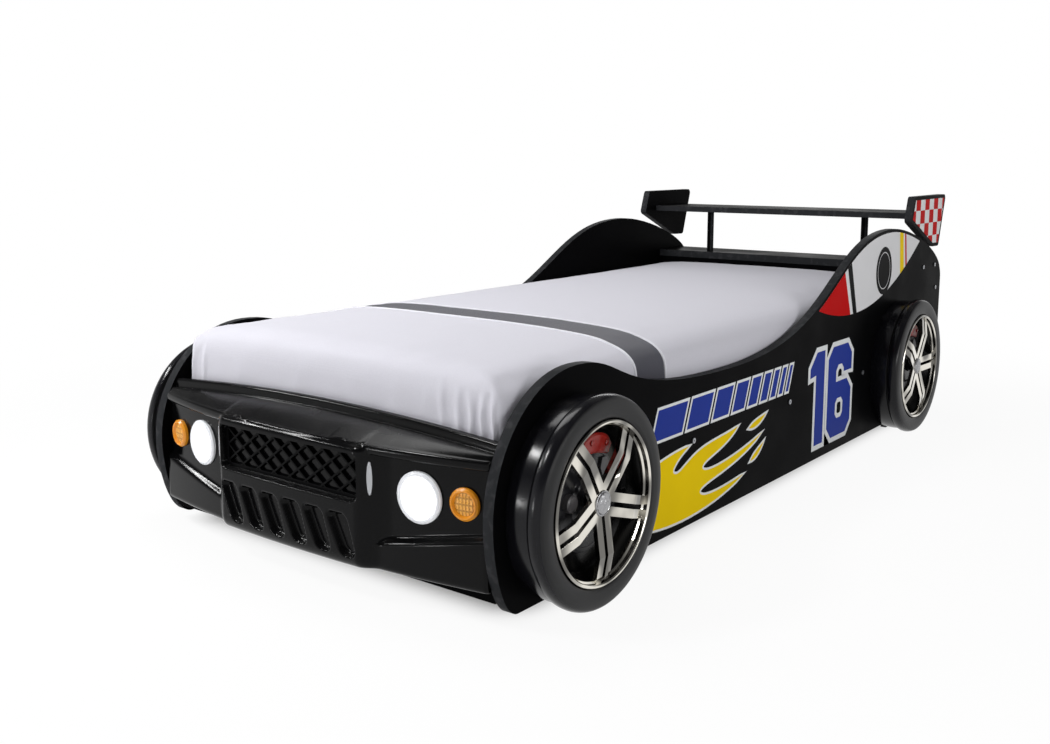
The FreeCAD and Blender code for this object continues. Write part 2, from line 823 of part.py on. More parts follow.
def wheel_dish():
    """The dark pan behind the spokes, with the column that stands on the side panel."""
    hub_back = wheel_depth - spoke_kink_drop - spoke_thickness - 3
    floor = wheel_depth - spoke_kink_drop - spoke_thickness - dish_depth
    rim_back = wheel_depth - spoke_kink_drop - spoke_thickness
    edge = rim_radius - 2
    bore = wheel_bolt_radius + bolt_fit
    t = plastic_wall
    return turned([
        (0, bore), (hub_back, bore), (hub_back, column_radius), (floor + t, column_radius),
        (floor + t, edge - dish_depth / 2 - t), (rim_back, edge - t), (rim_back, edge),
        (floor, edge - dish_depth / 2), (floor, column_radius), (0, column_radius),
    ])


def hub_cap():
    """A plain faceted cap on the hub."""
    low = wheel_depth - spoke_kink_drop
    return turned([(low, 0), (low, cap_radius), (low + cap_height * 0.5, cap_radius),
                   (low + cap_height, cap_radius * 0.7), (low + cap_height, 0)])


def brake():
    """Brake disc and caliper, seen between the spokes. They are still parts of the trim."""
    floor = wheel_depth - spoke_kink_drop - spoke_thickness - dish_depth + plastic_wall
    disc = tube_x(disc_radius, column_radius, floor, floor + disc_thickness)
    x0 = floor + disc_thickness
    ring = tube_x(caliper_outer, caliper_inner, x0, x0 + caliper_thickness)
    half = math.radians(caliper_angle / 2)
    reach = 2 * caliper_outer
    wedge = prism([
        Vector(0, 0, 0), Vector(0, reach * math.cos(half), reach * math.sin(half)),
        Vector(0, reach * 2, 0), Vector(0, reach * math.cos(half), -reach * math.sin(half)),
    ], Vector(wheel_depth, 0, 0))
    caliper = ring.common(wedge)
    caliper.rotate(Vector(0, 0, 0), Vector(1, 0, 0), caliper_middle)
    return Part.makeCompound([disc, caliper])


def wheel_bolt():
    """A bolt through the rail and the side panel, into the hub."""
    end = wheel_depth - spoke_kink_drop
    inner = rail_inner - outer_x
    shank = rod(wheel_bolt_radius, inner, end, 0, 0)
    head = rod(wheel_bolt_head, inner - wheel_bolt_head_height, inner, 0, 0)
    return shank.fuse(head).removeSplitter()


def at_wheel(shape, y):
    placed = shape.copy()
    placed.translate(Vector(outer_x, y, wheel_height))
    return placed


# ---------------------------------------------------------------- rear deck and spoiler
def spoiler_post():
    return Part.makeCylinder(post_radius, shelf_bottom - deck_top, Vector(post_x, post_y, deck_top))


def end_plate():
    """A plate at the end of the spoiler shelf, with its point downwards."""
    corners = [(shelf_y0 + y, shelf_top + z) for y, z in plate_corners]
    face = rounded_outline(corners, plate_round)
    plate = face.extrude(Vector(board, 0, 0))
    plate.translate(Vector(inner_x, 0, 0))
    return plate


# ---------------------------------------------------------------- the whole bed
def make_bed():
    add_pair("side_panel", side_panel())
    add("panel_bolts", panel_bolts())
    add("front_board", front_board_block())
    add("headboard", cross_board(head_front, inner_board_bottom, deck_bottom))
    add("tail_board", bored_for_bolts(cross_board(tail_front, inner_board_bottom, deck_bottom)))
    add("rear_deck", bored_for_bolts(box(-inner_x, inner_x, head_front, tail_back, deck_bottom, deck_top)))

    add_pair("slat_rail", slat_rail())
    add("center_beam", center_beam())
    add("center_legs", center_legs())
    add("corner_feet", corner_feet())
    add("slats", slats())
    add("slat_tapes", slat_tapes())
    add("mattress_core", mattress_core())
    add("mattress_cover", mattress_cover())

    add("bumper_shell", bumper_shell())
    add("grille_mesh", grille_mesh())
    add("side_badges", side_badges())
    for name, shape in headlight_pieces().items():
        add_pair(name, on_bay(headlight_x, headlight_z, shape))
    for name, shape in indicator_pieces().items():
        add_pair(name, on_bay(indicator_x, indicator_z, shape))

    bolts = []
    wheels = (("front", front_wheel_y, front_spoke_angle), ("rear", rear_wheel_y, rear_spoke_angle))
    for end, y, angle in wheels:
        add_pair("tyre_" + end, at_wheel(tyre(), y))
        add_pair("wheel_rim_" + end, at_wheel(wheel_rim(angle), y))
        add_pair("wheel_dish_" + end, at_wheel(wheel_dish(), y))
        add_pair("hub_cap_" + end, at_wheel(hub_cap(), y))
        add_pair("brake_" + end, at_wheel(brake(), y))
        bolt = at_wheel(wheel_bolt(), y)
        bolts += [bolt, mirrored(bolt)]
    add("wheel_bolts", Part.makeCompound(bolts))

    add_pair("spoiler_post", spoiler_post())
    add("spoiler_shelf", box(-inner_x, inner_x, shelf_y0, shelf_y1, shelf_bottom, shelf_top))
    add_pair("spoiler_end_plate", end_plate())


def write_pieces():
    """Centres the bed on the origin and writes one file for each piece."""
    front = pieces["bumper_shell"].optimalBoundingBox().YMin
    rear = pieces["spoiler_end_plate_left"].optimalBoundingBox().YMax
    whole_shift = -(front + rear) / 2
    print("reach along Y from", round(front, 3), "to", round(rear, 3))
    print(len(pieces), "pieces, moved along Y by", round(whole_shift, 3))
    os.makedirs("parts", exist_ok=True)
    for name, shape in pieces.items():
        shape.translate(Vector(0, whole_shift, 0))
        shape.exportStep("parts/" + name + ".step")


make_bed()
write_pieces()
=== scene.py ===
# %% [markdown]
# # A racing-car bed for a child
# The bed is two boards cut like the side of a racing car, a glossy moulded bumper between their
# noses, four moulded wheels with chromed spokes, a slatted base with a puffy mattress, and a
# spoiler that works as a shelf. The construction comes in at its real size, in metres, with the
# nose towards -Y. This script gives it its looks: new meshes where moulding or cloth has soft
# forms, and materials everywhere.

import math

import bmesh
import bpy
from mathutils import Matrix, Vector, noise


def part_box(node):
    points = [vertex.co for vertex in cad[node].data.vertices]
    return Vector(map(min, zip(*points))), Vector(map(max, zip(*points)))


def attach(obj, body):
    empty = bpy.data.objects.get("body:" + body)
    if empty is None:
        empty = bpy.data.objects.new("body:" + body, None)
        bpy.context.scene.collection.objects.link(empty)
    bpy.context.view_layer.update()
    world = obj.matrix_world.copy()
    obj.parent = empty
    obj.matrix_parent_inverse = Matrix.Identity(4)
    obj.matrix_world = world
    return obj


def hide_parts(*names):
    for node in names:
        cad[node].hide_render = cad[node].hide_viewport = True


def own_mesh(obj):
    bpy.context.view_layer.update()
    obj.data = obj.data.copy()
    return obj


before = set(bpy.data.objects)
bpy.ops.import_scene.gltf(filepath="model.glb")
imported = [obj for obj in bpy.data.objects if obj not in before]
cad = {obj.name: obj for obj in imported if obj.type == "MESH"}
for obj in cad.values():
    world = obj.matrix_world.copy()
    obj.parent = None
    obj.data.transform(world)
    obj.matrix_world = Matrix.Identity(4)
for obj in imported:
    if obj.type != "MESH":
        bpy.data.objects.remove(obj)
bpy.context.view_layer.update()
MM = 0.001
SIDES = {"left": 1, "right": -1}
HALF_SPACE, PANEL_FACE = (corner.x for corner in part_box("side_panel_left"))   # inner and outer face

# %% [markdown]
# ## Camera
# The photograph was taken a little above the bed, from the front and to one side. A fitted camera
# gives the place, the turn and the lens. Its optical centre lies above the middle of the picture,
# so the lens is shifted a little. Places along the bed are counted from the mattress space, which
# begins at the back of the bumper.

# %% Camera
space_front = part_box("front_board")[1].y + 3.5 * MM   # where the mattress space begins
eye = Vector((1590.1 * MM, -1409.0 * MM + space_front, 792.8 * MM))
turn_left = 0.661
look_down = 0.146
picture_width = 1050
focal_pixels = 1106.7
optical_centre = 320
picture_middle = 372

lens = bpy.data.cameras.new("photo_camera")
lens.sensor_width = 36
lens.lens = focal_pixels / picture_width * lens.sensor_width
lens.shift_y = (optical_centre - picture_middle) / picture_width
lens.clip_start = 0.05
lens.clip_end = 60
camera = bpy.data.objects.new("photo_camera", lens)
camera.location = eye
camera.rotation_euler = (math.pi / 2 - look_down, 0, turn_left)
bpy.context.scene.collection.objects.link(camera)
bpy.context.scene.camera = camera
bpy.context.scene.view_settings.view_transform = "Standard"
print("lens", round(lens.lens, 2), "mm, eye", [round(v, 3) for v in eye])

# %% [markdown]
# ## Shader node helpers
# The background, the floor and every finish are made of a few kinds of shader node, so the
# helpers for them come first. A value given to them is a number, a colour or a node's output.

# %% Shader node helpers
def linear(*screen):
    """Linear colour from 0-255 screen values."""
    values = [v / 255 for v in screen]
    return (*(v / 12.92 if v <= 0.04045 else ((v + 0.055) / 1.055) ** 2.4 for v in values), 1.0)


def put(tree, socket, value):
    """Links a node's output to a socket, or sets the socket to a number or colour."""
    if isinstance(value, bpy.types.NodeSocket):
        tree.links.new(value, socket)
    else:
        socket.default_value = value


def node(tree, kind, inputs=None, **settings):
    """A shader node. Its inputs are given by name or number."""
    made = tree.nodes.new("ShaderNode" + kind)
    for label, value in settings.items():
        setattr(made, label, value)
    for label, value in (inputs or {}).items():
        put(tree, made.inputs[label], value)
    return made


def calc(tree, operation, a, b=0.5, clamp=False):
    return node(tree, "Math", {0: a, 1: b}, operation=operation, use_clamp=clamp).outputs[0]


def ramp(tree, value, low, high, out_low=0.0, out_high=1.0, kind="SMOOTHSTEP"):
    """Turns low..high into out_low..out_high, smoothly, and holds it there."""
    return node(tree, "MapRange", {"Value": value, "From Min": low, "From Max": high,
                                   "To Min": out_low, "To Max": out_high},
                interpolation_type=kind).outputs["Result"]


def parts(tree, vector):
    """The X, Y and Z of a vector."""
    return node(tree, "SeparateXYZ", {0: vector}).outputs


def is_ray(tree, *kinds):
    """1 for rays of these kinds, and 0 for all others."""
    path = node(tree, "LightPath").outputs
    seen = path[kinds[0]]
    for kind in kinds[1:]:
        seen = calc(tree, "ADD", seen, path[kind], clamp=True)
    return seen


# %% [markdown]
# ## Light, floor and background
# The bed stands on white in a studio. Glossy black plastic shows little of its own colour, so its
# form is told by highlights, and each of them comes from a small, strong lamp: where a lamp has to
# stand follows from the mirror direction of the camera's ray at that point. One is for the tread
# of the front tyre, one for the roll along the bumper and a low one for the tread's lower part. A
# soft lamp overhead and one from the right light the mattress and the panel at a plain level. The
# white behind the bed comes from the world, for rays that look at it straight, in a mirror or
# through glass. The floor glows white as well, less so right under the bed.

# %% Light, floor and background
def make_world(ambient, ceiling):
    """White where it is seen, a plain level for scattered light, and a dim ceiling in mirrors."""
    world = bpy.data.worlds.new("studio")
    bpy.context.scene.world = world
    world.use_nodes = True
    tree = world.node_tree
    up = parts(tree, node(tree, "TexCoord").outputs["Generated"])["Z"]
    mirrored = ramp(tree, up, 0.1, 0.5, 1.0, ceiling)
    level = ramp(tree, is_ray(tree, "Is Glossy Ray"), 0, 1, ambient, mirrored, "LINEAR")
    straight = is_ray(tree, "Is Camera Ray", "Is Transmission Ray")
    backdrop = tree.nodes["Background"].inputs
    put(tree, backdrop["Color"], (1, 1, 1, 1))
    put(tree, backdrop["Strength"], ramp(tree, straight, 0, 1, level, 1.0, "LINEAR"))


def soft_lamp(name, place, target, width, height, watts):
    data = bpy.data.lights.new(name, "AREA")
    data.shape = "RECTANGLE"
    data.size, data.size_y, data.energy = width, height, watts
    lamp = bpy.data.objects.new(name, data)
    lamp.location = place
    lamp.rotation_euler = (Vector(target) - Vector(place)).to_track_quat("-Z", "Y").to_euler()
    bpy.context.scene.collection.objects.link(lamp)


def make_floor(size, lit_share, dim_share):
    """A pale floor that shows as white, apart from the shadow on it. Under the bed it stays dim."""
    mesh = bpy.data.meshes.new("floor")
    h = size / 2
    mesh.from_pydata([(-h, -h, 0), (h, -h, 0), (h, h, 0), (-h, h, 0)], [], [(0, 1, 2, 3)])
    floor = bpy.data.objects.new("floor", mesh)
    floor.location.z = -0.5 * MM
    bpy.context.scene.collection.objects.link(floor)
    material = bpy.data.materials.new("pale_floor")
    material.use_nodes = True
    mesh.materials.append(material)
    tree = material.node_tree
    paint = tree.nodes["Principled BSDF"]
    put(tree, paint.inputs["Base Color"], (0.9, 0.9, 0.9, 1))
    put(tree, paint.inputs["Roughness"], 0.9)
    place = node(tree, "TexCoord").outputs["Object"]
    away = node(tree, "VectorMath", {0: place}, operation="LENGTH").outputs["Value"]
    lit = ramp(tree, away, 1.0, 2.6, lit_share, 1.0)
    across, along = (ramp(tree, calc(tree, "ABSOLUTE", parts(tree, place)[axis]), near, far, 1.0, 0.0)
                     for axis, near, far in (("X", 0.38, 0.52), ("Y", 0.95, 1.10)))
    under = calc(tree, "MULTIPLY", across, along)
    lit = calc(tree, "MULTIPLY", lit, ramp(tree, under, 0, 1, 1.0, dim_share))
    seen = is_ray(tree, "Is Camera Ray", "Is Glossy Ray", "Is Transmission Ray")
    glow = node(tree, "Emission").outputs[0]
    shown = node(tree, "MixShader", {0: calc(tree, "MULTIPLY", lit, seen), 1: paint.outputs[0], 2: glow})
    put(tree, tree.nodes["Material Output"].inputs["Surface"], shown.outputs[0])


make_world(ambient=0.3, ceiling=0.12)
soft_lamp("overhead", (-0.75, -0.45, 2.4), (-0.1, -0.4, 0.35), 0.9, 1.6, 23)
soft_lamp("tread", (-0.78, -2.2, 2.05), (0.5, -0.75, 0.3), 0.46, 0.2, 26)
soft_lamp("roll", (-1.95, -2.0, 1.75), (0, -1.14, 0.28), 0.9, 0.1, 18)
soft_lamp("low", (-0.79, -3.0, 0.3), (0.54, -0.79, 0.2), 0.17, 0.16, 5.5)
soft_lamp("right_side", (3.6, -0.5, 0.95), (0.4, 0.1, 0.25), 2.6, 0.6, 36)
soft_lamp("behind", (-1.5, 3.4, 2.2), (0, 0.6, 0.4), 2.0, 0.6, 14)
make_floor(30, lit_share=0.93, dim_share=0.2)
print("lamps:", len(bpy.data.lights))

# %% [markdown]
# ## Effects shared by several materials
# A real surface is never one flat colour. Four effects are used again and again here, so each one
# is a node group with named inputs: a fine grain for moulded plastic and foil, dust that settles
# on faces that look up, worn edges, and the weave of cloth. Each group puts out values only. The
# shader stays in the material.

# %% Grain, dust, wear and weave
def new_group(name, inputs, outputs):
    """A shader node group of plain numbers. Each input has its first value."""
    group = bpy.data.node_groups.new(name, "ShaderNodeTree")
    for label, value in inputs.items():
        group.interface.new_socket(label, in_out="INPUT", socket_type="NodeSocketFloat").default_value = value
    for label in outputs:
        group.interface.new_socket(label, in_out="OUTPUT", socket_type="NodeSocketFloat")
    return group, group.nodes.new("NodeGroupInput").outputs, group.nodes.new("NodeGroupOutput").inputs


def noise_value(tree, scale, detail=3.0, stretch=None):
    """Soft random values over the object, in its own metres."""
    place = node(tree, "TexCoord").outputs["Object"]
    if stretch:
        place = node(tree, "Mapping", {"Vector": place, "Scale": stretch}).outputs["Vector"]
    return node(tree, "TexNoise", {"Vector": place, "Scale": scale, "Detail": detail}).outputs["Fac"]


def make_grain():
    """Fine pimples of moulded plastic or foil, and slow changes of gloss."""
    group, given, out = new_group("fine_grain", {"Scale": 900.0, "Smooth": 0.2, "Rough": 0.35},
                                  ("Height", "Roughness", "Tone"))
    slow = noise_value(group, 7.0, 4.0)
    put(group, out["Height"], noise_value(group, given["Scale"], 2.0))
    put(group, out["Roughness"], ramp(group, slow, 0.3, 0.7, given["Smooth"], given["Rough"]))
    put(group, out["Tone"], slow)
    return group


def make_dust():
    """A thin, patchy veil on faces that look up."""
    group, given, out = new_group("settled_dust", {"Amount": 0.3}, ("Mask",))
    up = ramp(group, parts(group, node(group, "NewGeometry").outputs["Normal"])["Z"], 0.45, 1.0)
    patch = ramp(group, noise_value(group, 26.0, 6.0), 0.35, 0.8)
    put(group, out["Mask"], calc(group, "MULTIPLY", calc(group, "MULTIPLY", up, patch), given["Amount"]))
    return group


def make_wear():
    """An edge mask, broken up into short scuffs."""
    group, given, out = new_group("worn_edges", {"Edge": 0.0, "Amount": 1.0}, ("Mask",))
    broken = ramp(group, noise_value(group, 55.0, 6.0), 0.5, 0.7)
    scuffs = calc(group, "MULTIPLY", given["Edge"], broken)
    put(group, out["Mask"], calc(group, "MULTIPLY", scuffs, given["Amount"]))
    return group


def make_weave():
    """Threads that cross at a right angle, seen as a fine height and a change of tone."""
    group, given, out = new_group("plain_weave", {"Threads per metre": 900.0}, ("Height", "Tone"))
    place = parts(group, node(group, "TexCoord").outputs["Object"])
    waves = []
    for axis in "XYZ":
        along = calc(group, "MULTIPLY", place[axis], given["Threads per metre"])
        waves.append(calc(group, "SINE", calc(group, "MULTIPLY", along, math.tau)))
    crossing = calc(group, "ADD", waves[0], calc(group, "ADD", waves[1], waves[2]))
    put(group, out["Height"], calc(group, "MULTIPLY", crossing, 0.2))
    put(group, out["Tone"], noise_value(group, 400.0, 3.0))
    return group


grain_group, dust_group, wear_group, weave_group = make_grain(), make_dust(), make_wear(), make_weave()
print("shared effects:", [group.name for group in bpy.data.node_groups])

# %% [markdown]
# ## Material helper
# A finish is a small recipe: base colours, a gloss range, a grain and some dust or wear. One
# class lays out those nodes, and each real finish of the bed gets its own call with its own
# values. What is the same all over a surface, such as coat or sheen, is set on the shader itself.

# %% Material helper
class Finish:
    """A material with its shader, and the shared effects placed as they are needed."""

    def __init__(self, name):
        self.material = bpy.data.materials.new(name)
        self.material.use_nodes = True
        self.tree = self.material.node_tree
        self.shader = self.tree.nodes["Principled BSDF"].inputs

    def place(self, group, **values):
        inputs = {label.replace("_", " "): value for label, value in values.items()}
        return node(self.tree, "Group", inputs, node_tree=group).outputs

    def mix(self, fac, a, b):
        """A colour between a and b. Each of them is a screen colour or a node's output."""
        a, b = (linear(*v) if isinstance(v, tuple) else v for v in (a, b))
        return node(self.tree, "Mix", {0: fac, 6: a, 7: b}, data_type="RGBA").outputs[2]

    def done(self, colour, roughness, height, depth, **constants):
        """Joins colour, gloss and a fine height to the shader. Gives the finished material."""
        bump = node(self.tree, "Bump", {"Strength": 1.0, "Distance": depth, "Height": height})
        put(self.tree, self.shader["Base Color"], colour)
        put(self.tree, self.shader["Roughness"], roughness)
        put(self.tree, self.shader["Normal"], bump.outputs["Normal"])
        for label, value in constants.items():
            self.shader[label.replace("_", " ")].default_value = value
        return self.material

    def facing(self, axis, low, high):
        """1 where the surface looks along an axis, either way, and 0 on the edges round it."""
        normal = node(self.tree, "NewGeometry").outputs["Normal"]
        along = node(self.tree, "VectorMath", {0: normal, 1: axis}, operation="DOT_PRODUCT").outputs["Value"]
        return ramp(self.tree, calc(self.tree, "ABSOLUTE", along), low, high)

    def duller(self, roughness, where, amount):
        """A roughness with some more of it where a mask is 1."""
        return calc(self.tree, "ADD", roughness, calc(self.tree, "MULTIPLY", where, amount), clamp=True)


# %% [markdown]
# ## Boards
# The boards are particle board with a black satin foil. Their edges are painted a dark grey, lighter than the faces: a
# painted highlight for the light that the edges catch. The edges are found by direction: the face looks along one
# axis, and what doesn't is the edge.

# %% Board finishes
BLACK_FOIL = (8, 8, 9)
EDGE_HIGHLIGHT_GREY = (44, 45, 47)
DUST = (120, 118, 114)


def board_finish(name, face_axis):
    f = Finish(name)
    grain = f.place(grain_group, Scale=1400.0, Smooth=0.3, Rough=0.44)
    dust = f.place(dust_group, Amount=0.05)
    face = f.facing(face_axis, 0.8, 0.97)
    wear = f.place(wear_group, Edge=calc(f.tree, "SUBTRACT", 1.0, face), Amount=0.3)
    # edges a lighter grey than the faces: painted highlight. The lighter scuffs on them are real wear
    base = f.mix(wear["Mask"], f.mix(face, EDGE_HIGHLIGHT_GREY, BLACK_FOIL), (78, 78, 80))
    return f.done(f.mix(dust["Mask"], base, DUST), grain["Roughness"], grain["Height"], 0.00006,
                  Specular_IOR_Level=0.008)


panel_board = board_finish("foil_panel", (1, 0, 0))
cross_board = board_finish("foil_cross_board", (0, 1, 0))
shelf_board = board_finish("foil_shelf", (0, 0, 1))
print("board finishes: 3")

# %% [markdown]
# ## Plastics
# The bumper is glossy black, and its top is a little duller and painted a little lighter: painted light where the top
# looks up. The tyres are moulded in charcoal plastic with a glossy tread and a satin wall. Most other plastics only
# drift a little between two tones, so one function makes them all.

# %% Plastic finishes
def bumper_finish():
    f = Finish("black_moulded_plastic")
    grain = f.place(grain_group, Scale=520.0, Smooth=0.08, Rough=0.16)
    dust = f.place(dust_group, Amount=0.04)
    surface = node(f.tree, "NewGeometry").outputs
    wear = f.place(wear_group, Edge=ramp(f.tree, surface["Pointiness"], 0.53, 0.6), Amount=0.03)
    # top: faces that look up. They are made duller, and lighter in colour as painted light from above
    top = ramp(f.tree, parts(f.tree, surface["Normal"])["Z"], 0.75, 0.95)
    base = f.mix(wear["Mask"], f.mix(top, (6, 6, 7), (15, 15, 16)), (60, 60, 62))
    return f.done(f.mix(dust["Mask"], base, DUST), f.duller(grain["Roughness"], top, 0.12),
                  grain["Height"], 0.00006, Specular_IOR_Level=0.12)


def tyre_finish():
    f = Finish("charcoal_tyre_plastic")
    grain = f.place(grain_group, Scale=700.0, Smooth=0.13, Rough=0.2)
    dust = f.place(dust_group, Amount=0.08)
    wall = f.facing((1, 0, 0), 0.6, 0.95)
    base = f.mix(wall, (17, 17, 21), (27, 27, 28))
    return f.done(f.mix(dust["Mask"], base, DUST), f.duller(grain["Roughness"], wall, 0.26),
                  grain["Height"], 0.00005, Specular_IOR_Level=0.2)


def two_tone(name, colour, darker, smooth, rough, scale=600.0, depth=0.00008, patches=0, **constants):
    """A surface whose colour drifts between two tones, slowly or in patches."""
    f = Finish(name)
    grain = f.place(grain_group, Scale=scale, Smooth=smooth, Rough=rough)
    tone = ramp(f.tree, noise_value(f.tree, patches, 1.5), 0.38, 0.62) if patches else grain["Tone"]
    return f.done(f.mix(tone, darker, colour), grain["Roughness"], grain["Height"], depth, **constants)


bumper_black = bumper_finish()
tyre_charcoal = tyre_finish()
grille_black = two_tone("grille_plastic", (6, 6, 7), (3, 3, 4), 0.2, 0.34, Specular_IOR_Level=0.05)
dish_black = two_tone("dish_plastic", (8, 8, 9), (5, 5, 6), 0.1, 0.2, Specular_IOR_Level=0.2)
disc_dark = two_tone("disc_plastic", (44, 44, 47), (30, 30, 33), 0.18, 0.3, Specular_IOR_Level=0.3)
bracket_grey = two_tone("bracket_plastic", (84, 82, 84), (66, 64, 66), 0.3, 0.45)
caliper_red = two_tone("caliper_paint", (158, 30, 20), (108, 16, 11), 0.25, 0.4)
foot_grey = two_tone("foot_plastic", (60, 60, 62), (45, 45, 47), 0.45, 0.6)
# the bezel's faint emission is a painted glow
ring_white = two_tone("bezel_plastic", (234, 236, 240), (220, 222, 228), 0.12, 0.22,
                      Emission_Color=(1, 1, 1, 1), Emission_Strength=0.12)
badge_silver = two_tone("badge_lacquer", (205, 206, 210), (140, 142, 147), 0.16, 0.3, Metallic=0.6)
circuit_green = two_tone("circuit_lacquer", (24, 96, 52), (14, 70, 38), 0.2, 0.35)
housing_white = two_tone("housing_plastic", (206, 206, 204), (190, 190, 188), 0.4, 0.55)
print("plastic finishes: 12")

# %% [markdown]
# ## Metals
# The rims are chrome-plated plastic: almost a mirror. Its colour has large darker patches painted in, a painted
# reflection for the changing reflections across the spokes. The middle of the hub is chrome as well, but cut into many
# small facets that sparkle.

# %% Metal finishes
# chrome: large patches between a light and a dark tone, a painted reflection for the spokes' changing reflections
chrome = two_tone("chrome_plating", (226, 222, 212), (112, 110, 106), 0.03, 0.1, 40.0, 0.00002, 13.0,
                  Metallic=1.0)
cut_chrome = two_tone("cut_chrome", (176, 176, 178), (120, 120, 122), 0.12, 0.3, 260.0, 0.0002, Metallic=1.0)
zinc = two_tone("zinc_plating", (176, 178, 182), (140, 142, 147), 0.25, 0.42, 500.0, 0.00005, Metallic=1.0)
spring_wire = two_tone("spring_wire", (130, 130, 134), (96, 96, 100), 0.2, 0.35, 40.0, 0.00002, Metallic=1.0)
print("metal finishes: 4")

# %% [markdown]
# ## Wood, foam and cloth
# The base under the mattress is seen from below. Rails and beam are pine, the slats are birch, and
# both have grain lines that run along the piece. A stretched noise makes them. Cloth, webbing and
# foam differ in how coarse their threads or pores are.

# %% Wood, foam and cloth finishes
def wood(name, light, dark, stretch):
    f = Finish(name)
    lines = noise_value(f.tree, 1.0, 6.0, stretch)
    grain = f.place(grain_group, Scale=300.0, Smooth=0.45, Rough=0.62)
    return f.done(f.mix(ramp(f.tree, lines, 0.35, 0.65), dark, light), grain["Roughness"],
                  noise_value(f.tree, 4.0, 3.0, stretch), 0.0002)


def cloth(name, light, dark, sheen, threads=1100.0, depth=0.00012, roughness=0.82, specular=0.25):
    f = Finish(name)
    weave = f.place(weave_group, Threads_per_metre=threads)
    return f.done(f.mix(weave["Tone"], dark, light), roughness, weave["Height"], depth,
                  Sheen_Weight=sheen, Sheen_Roughness=0.5, Specular_IOR_Level=specular)


pine = wood("pine", (222, 188, 136), (190, 146, 92), (60, 3, 60))
birch = wood("birch_slats", (232, 208, 168), (208, 176, 128), (3, 70, 70))
webbing = cloth("webbing", (196, 190, 178), (168, 162, 150), 0.1, 600.0, 0.0003, 0.85, 0.2)
foam = cloth("foam", (238, 228, 196), (222, 208, 170), 0.0, 220.0, 0.0004, 0.85, 0.2)
cover_cotton = cloth("cover_cotton", (212, 211, 219), (202, 201, 210), 0.1)
piping_cotton = cloth("piping_cotton", (232, 232, 238), (222, 222, 229), 0.1)
band_cotton = cloth("band_cotton", (74, 74, 83), (64, 64, 73), 0.22)
print("wood and cloth finishes: 7")

# %% [markdown]
# ## Dressing the construction's own boards and trim
# Most boards already have their right shape. Their sharp edges get a small rounding with a Bevel
# modifier, which needs a Weld first, because the imported faces don't share their points.

# %% Dress the boards and trim
def dress(name, material, rounding=0.0, segments=2):
    """Gives a construction node its finish and, where asked, a rounding in millimetres."""
    piece = cad[name]
    piece.data.materials.clear()
    piece.data.materials.append(material)
    if rounding:
        piece.modifiers.new("weld", "WELD").merge_threshold = 0.01 * MM
        bevel = piece.modifiers.new("rounding", "BEVEL")
        bevel.width, bevel.segments = rounding * MM, segments
        bevel.limit_method, bevel.angle_limit = "ANGLE", math.radians(40)


PAIRS = (("side_panel", panel_board, 2.6, 3), ("spoiler_end_plate", panel_board, 2.0, 3),
         ("spoiler_post", cross_board), ("slat_rail", pine, 1.5), ("headlight_bezel", ring_white),
         ("headlight_housing", housing_white), ("headlight_circuit", circuit_green))
SINGLES = (("front_board", cross_board, 1.0), ("headboard", cross_board, 1.0), ("tail_board", cross_board, 1.0),
           ("rear_deck", shelf_board, 2.0, 3), ("spoiler_shelf", shelf_board, 2.0, 3),
           ("panel_bolts", zinc, 0.5), ("wheel_bolts", zinc, 1.0), ("center_beam", pine, 1.5),
           ("center_legs", pine, 1.5), ("corner_feet", foot_grey, 1.5), ("slats", birch, 2.0),
           ("slat_tapes", webbing), ("mattress_core", foam, 11.0), ("grille_mesh", grille_black, 0.9),
           ("side_badges", badge_silver, 0.8))
for name, *look in PAIRS:
    for side in SIDES:
        dress(f"{name}_{side}", *look)
for name, *look in SINGLES:
    dress(name, *look)
print("dressed", len(PAIRS) * 2 + len(SINGLES), "nodes")

# %% [markdown]
# ## Building meshes
# New pieces are made from lists of points and faces. Two shapes come again and again on this bed:
# a profile turned about a wheel's or a lamp's axis, and a sheet of points in rows.

# %% Mesh helpers
def mesh_piece(name, points, faces, material, body="bed", slot="black_plastic", sharp=40):
    mesh = bpy.data.meshes.new(name)
    mesh.from_pydata([tuple(p) for p in points], [], faces)
    mesh.validate()
    work = bmesh.new()
    work.from_mesh(mesh)
    bmesh.ops.recalc_face_normals(work, faces=work.faces)
    work.to_mesh(mesh)
    work.free()
    mesh.shade_smooth()
    mesh.set_sharp_from_angle(angle=math.radians(sharp))
    mesh.materials.append(material)
    piece = bpy.data.objects.new(name, mesh)
    bpy.context.scene.collection.objects.link(piece)
    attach(piece, body)
    return piece


def from_curve(curve):
    """The points and faces that a curve has as a mesh."""
    holder = bpy.data.objects.new("curve", curve)
    mesh = bpy.data.meshes.new_from_object(holder)
    bpy.data.objects.remove(holder)
    return [v.co.copy() for v in mesh.vertices], [list(p.vertices) for p in mesh.polygons]


def rows_to_faces(rows, columns, wrap_rows=False, wrap_columns=False, start=0):
    """Quads between rows of points. Wrapping joins the last row or column to the first."""
    faces = []
    for i in range(rows if wrap_rows else rows - 1):
        for j in range(columns if wrap_columns else columns - 1):
            a = i * columns + j
            b = i * columns + (j + 1) % columns
            c = (i + 1) % rows * columns + (j + 1) % columns
            d = (i + 1) % rows * columns + j
            faces.append([start + v for v in (a, b, c, d)])
    return faces


def turned_points(profile, steps, closed):
    """Points of a (distance, radius) profile turned about the X axis, and their faces."""
    points = []
    for k in range(steps):
        a = math.tau * k / steps
        points += [Vector((d, r * math.cos(a), r * math.sin(a))) for d, r in profile]
    return points, rows_to_faces(steps, len(profile), True, closed)


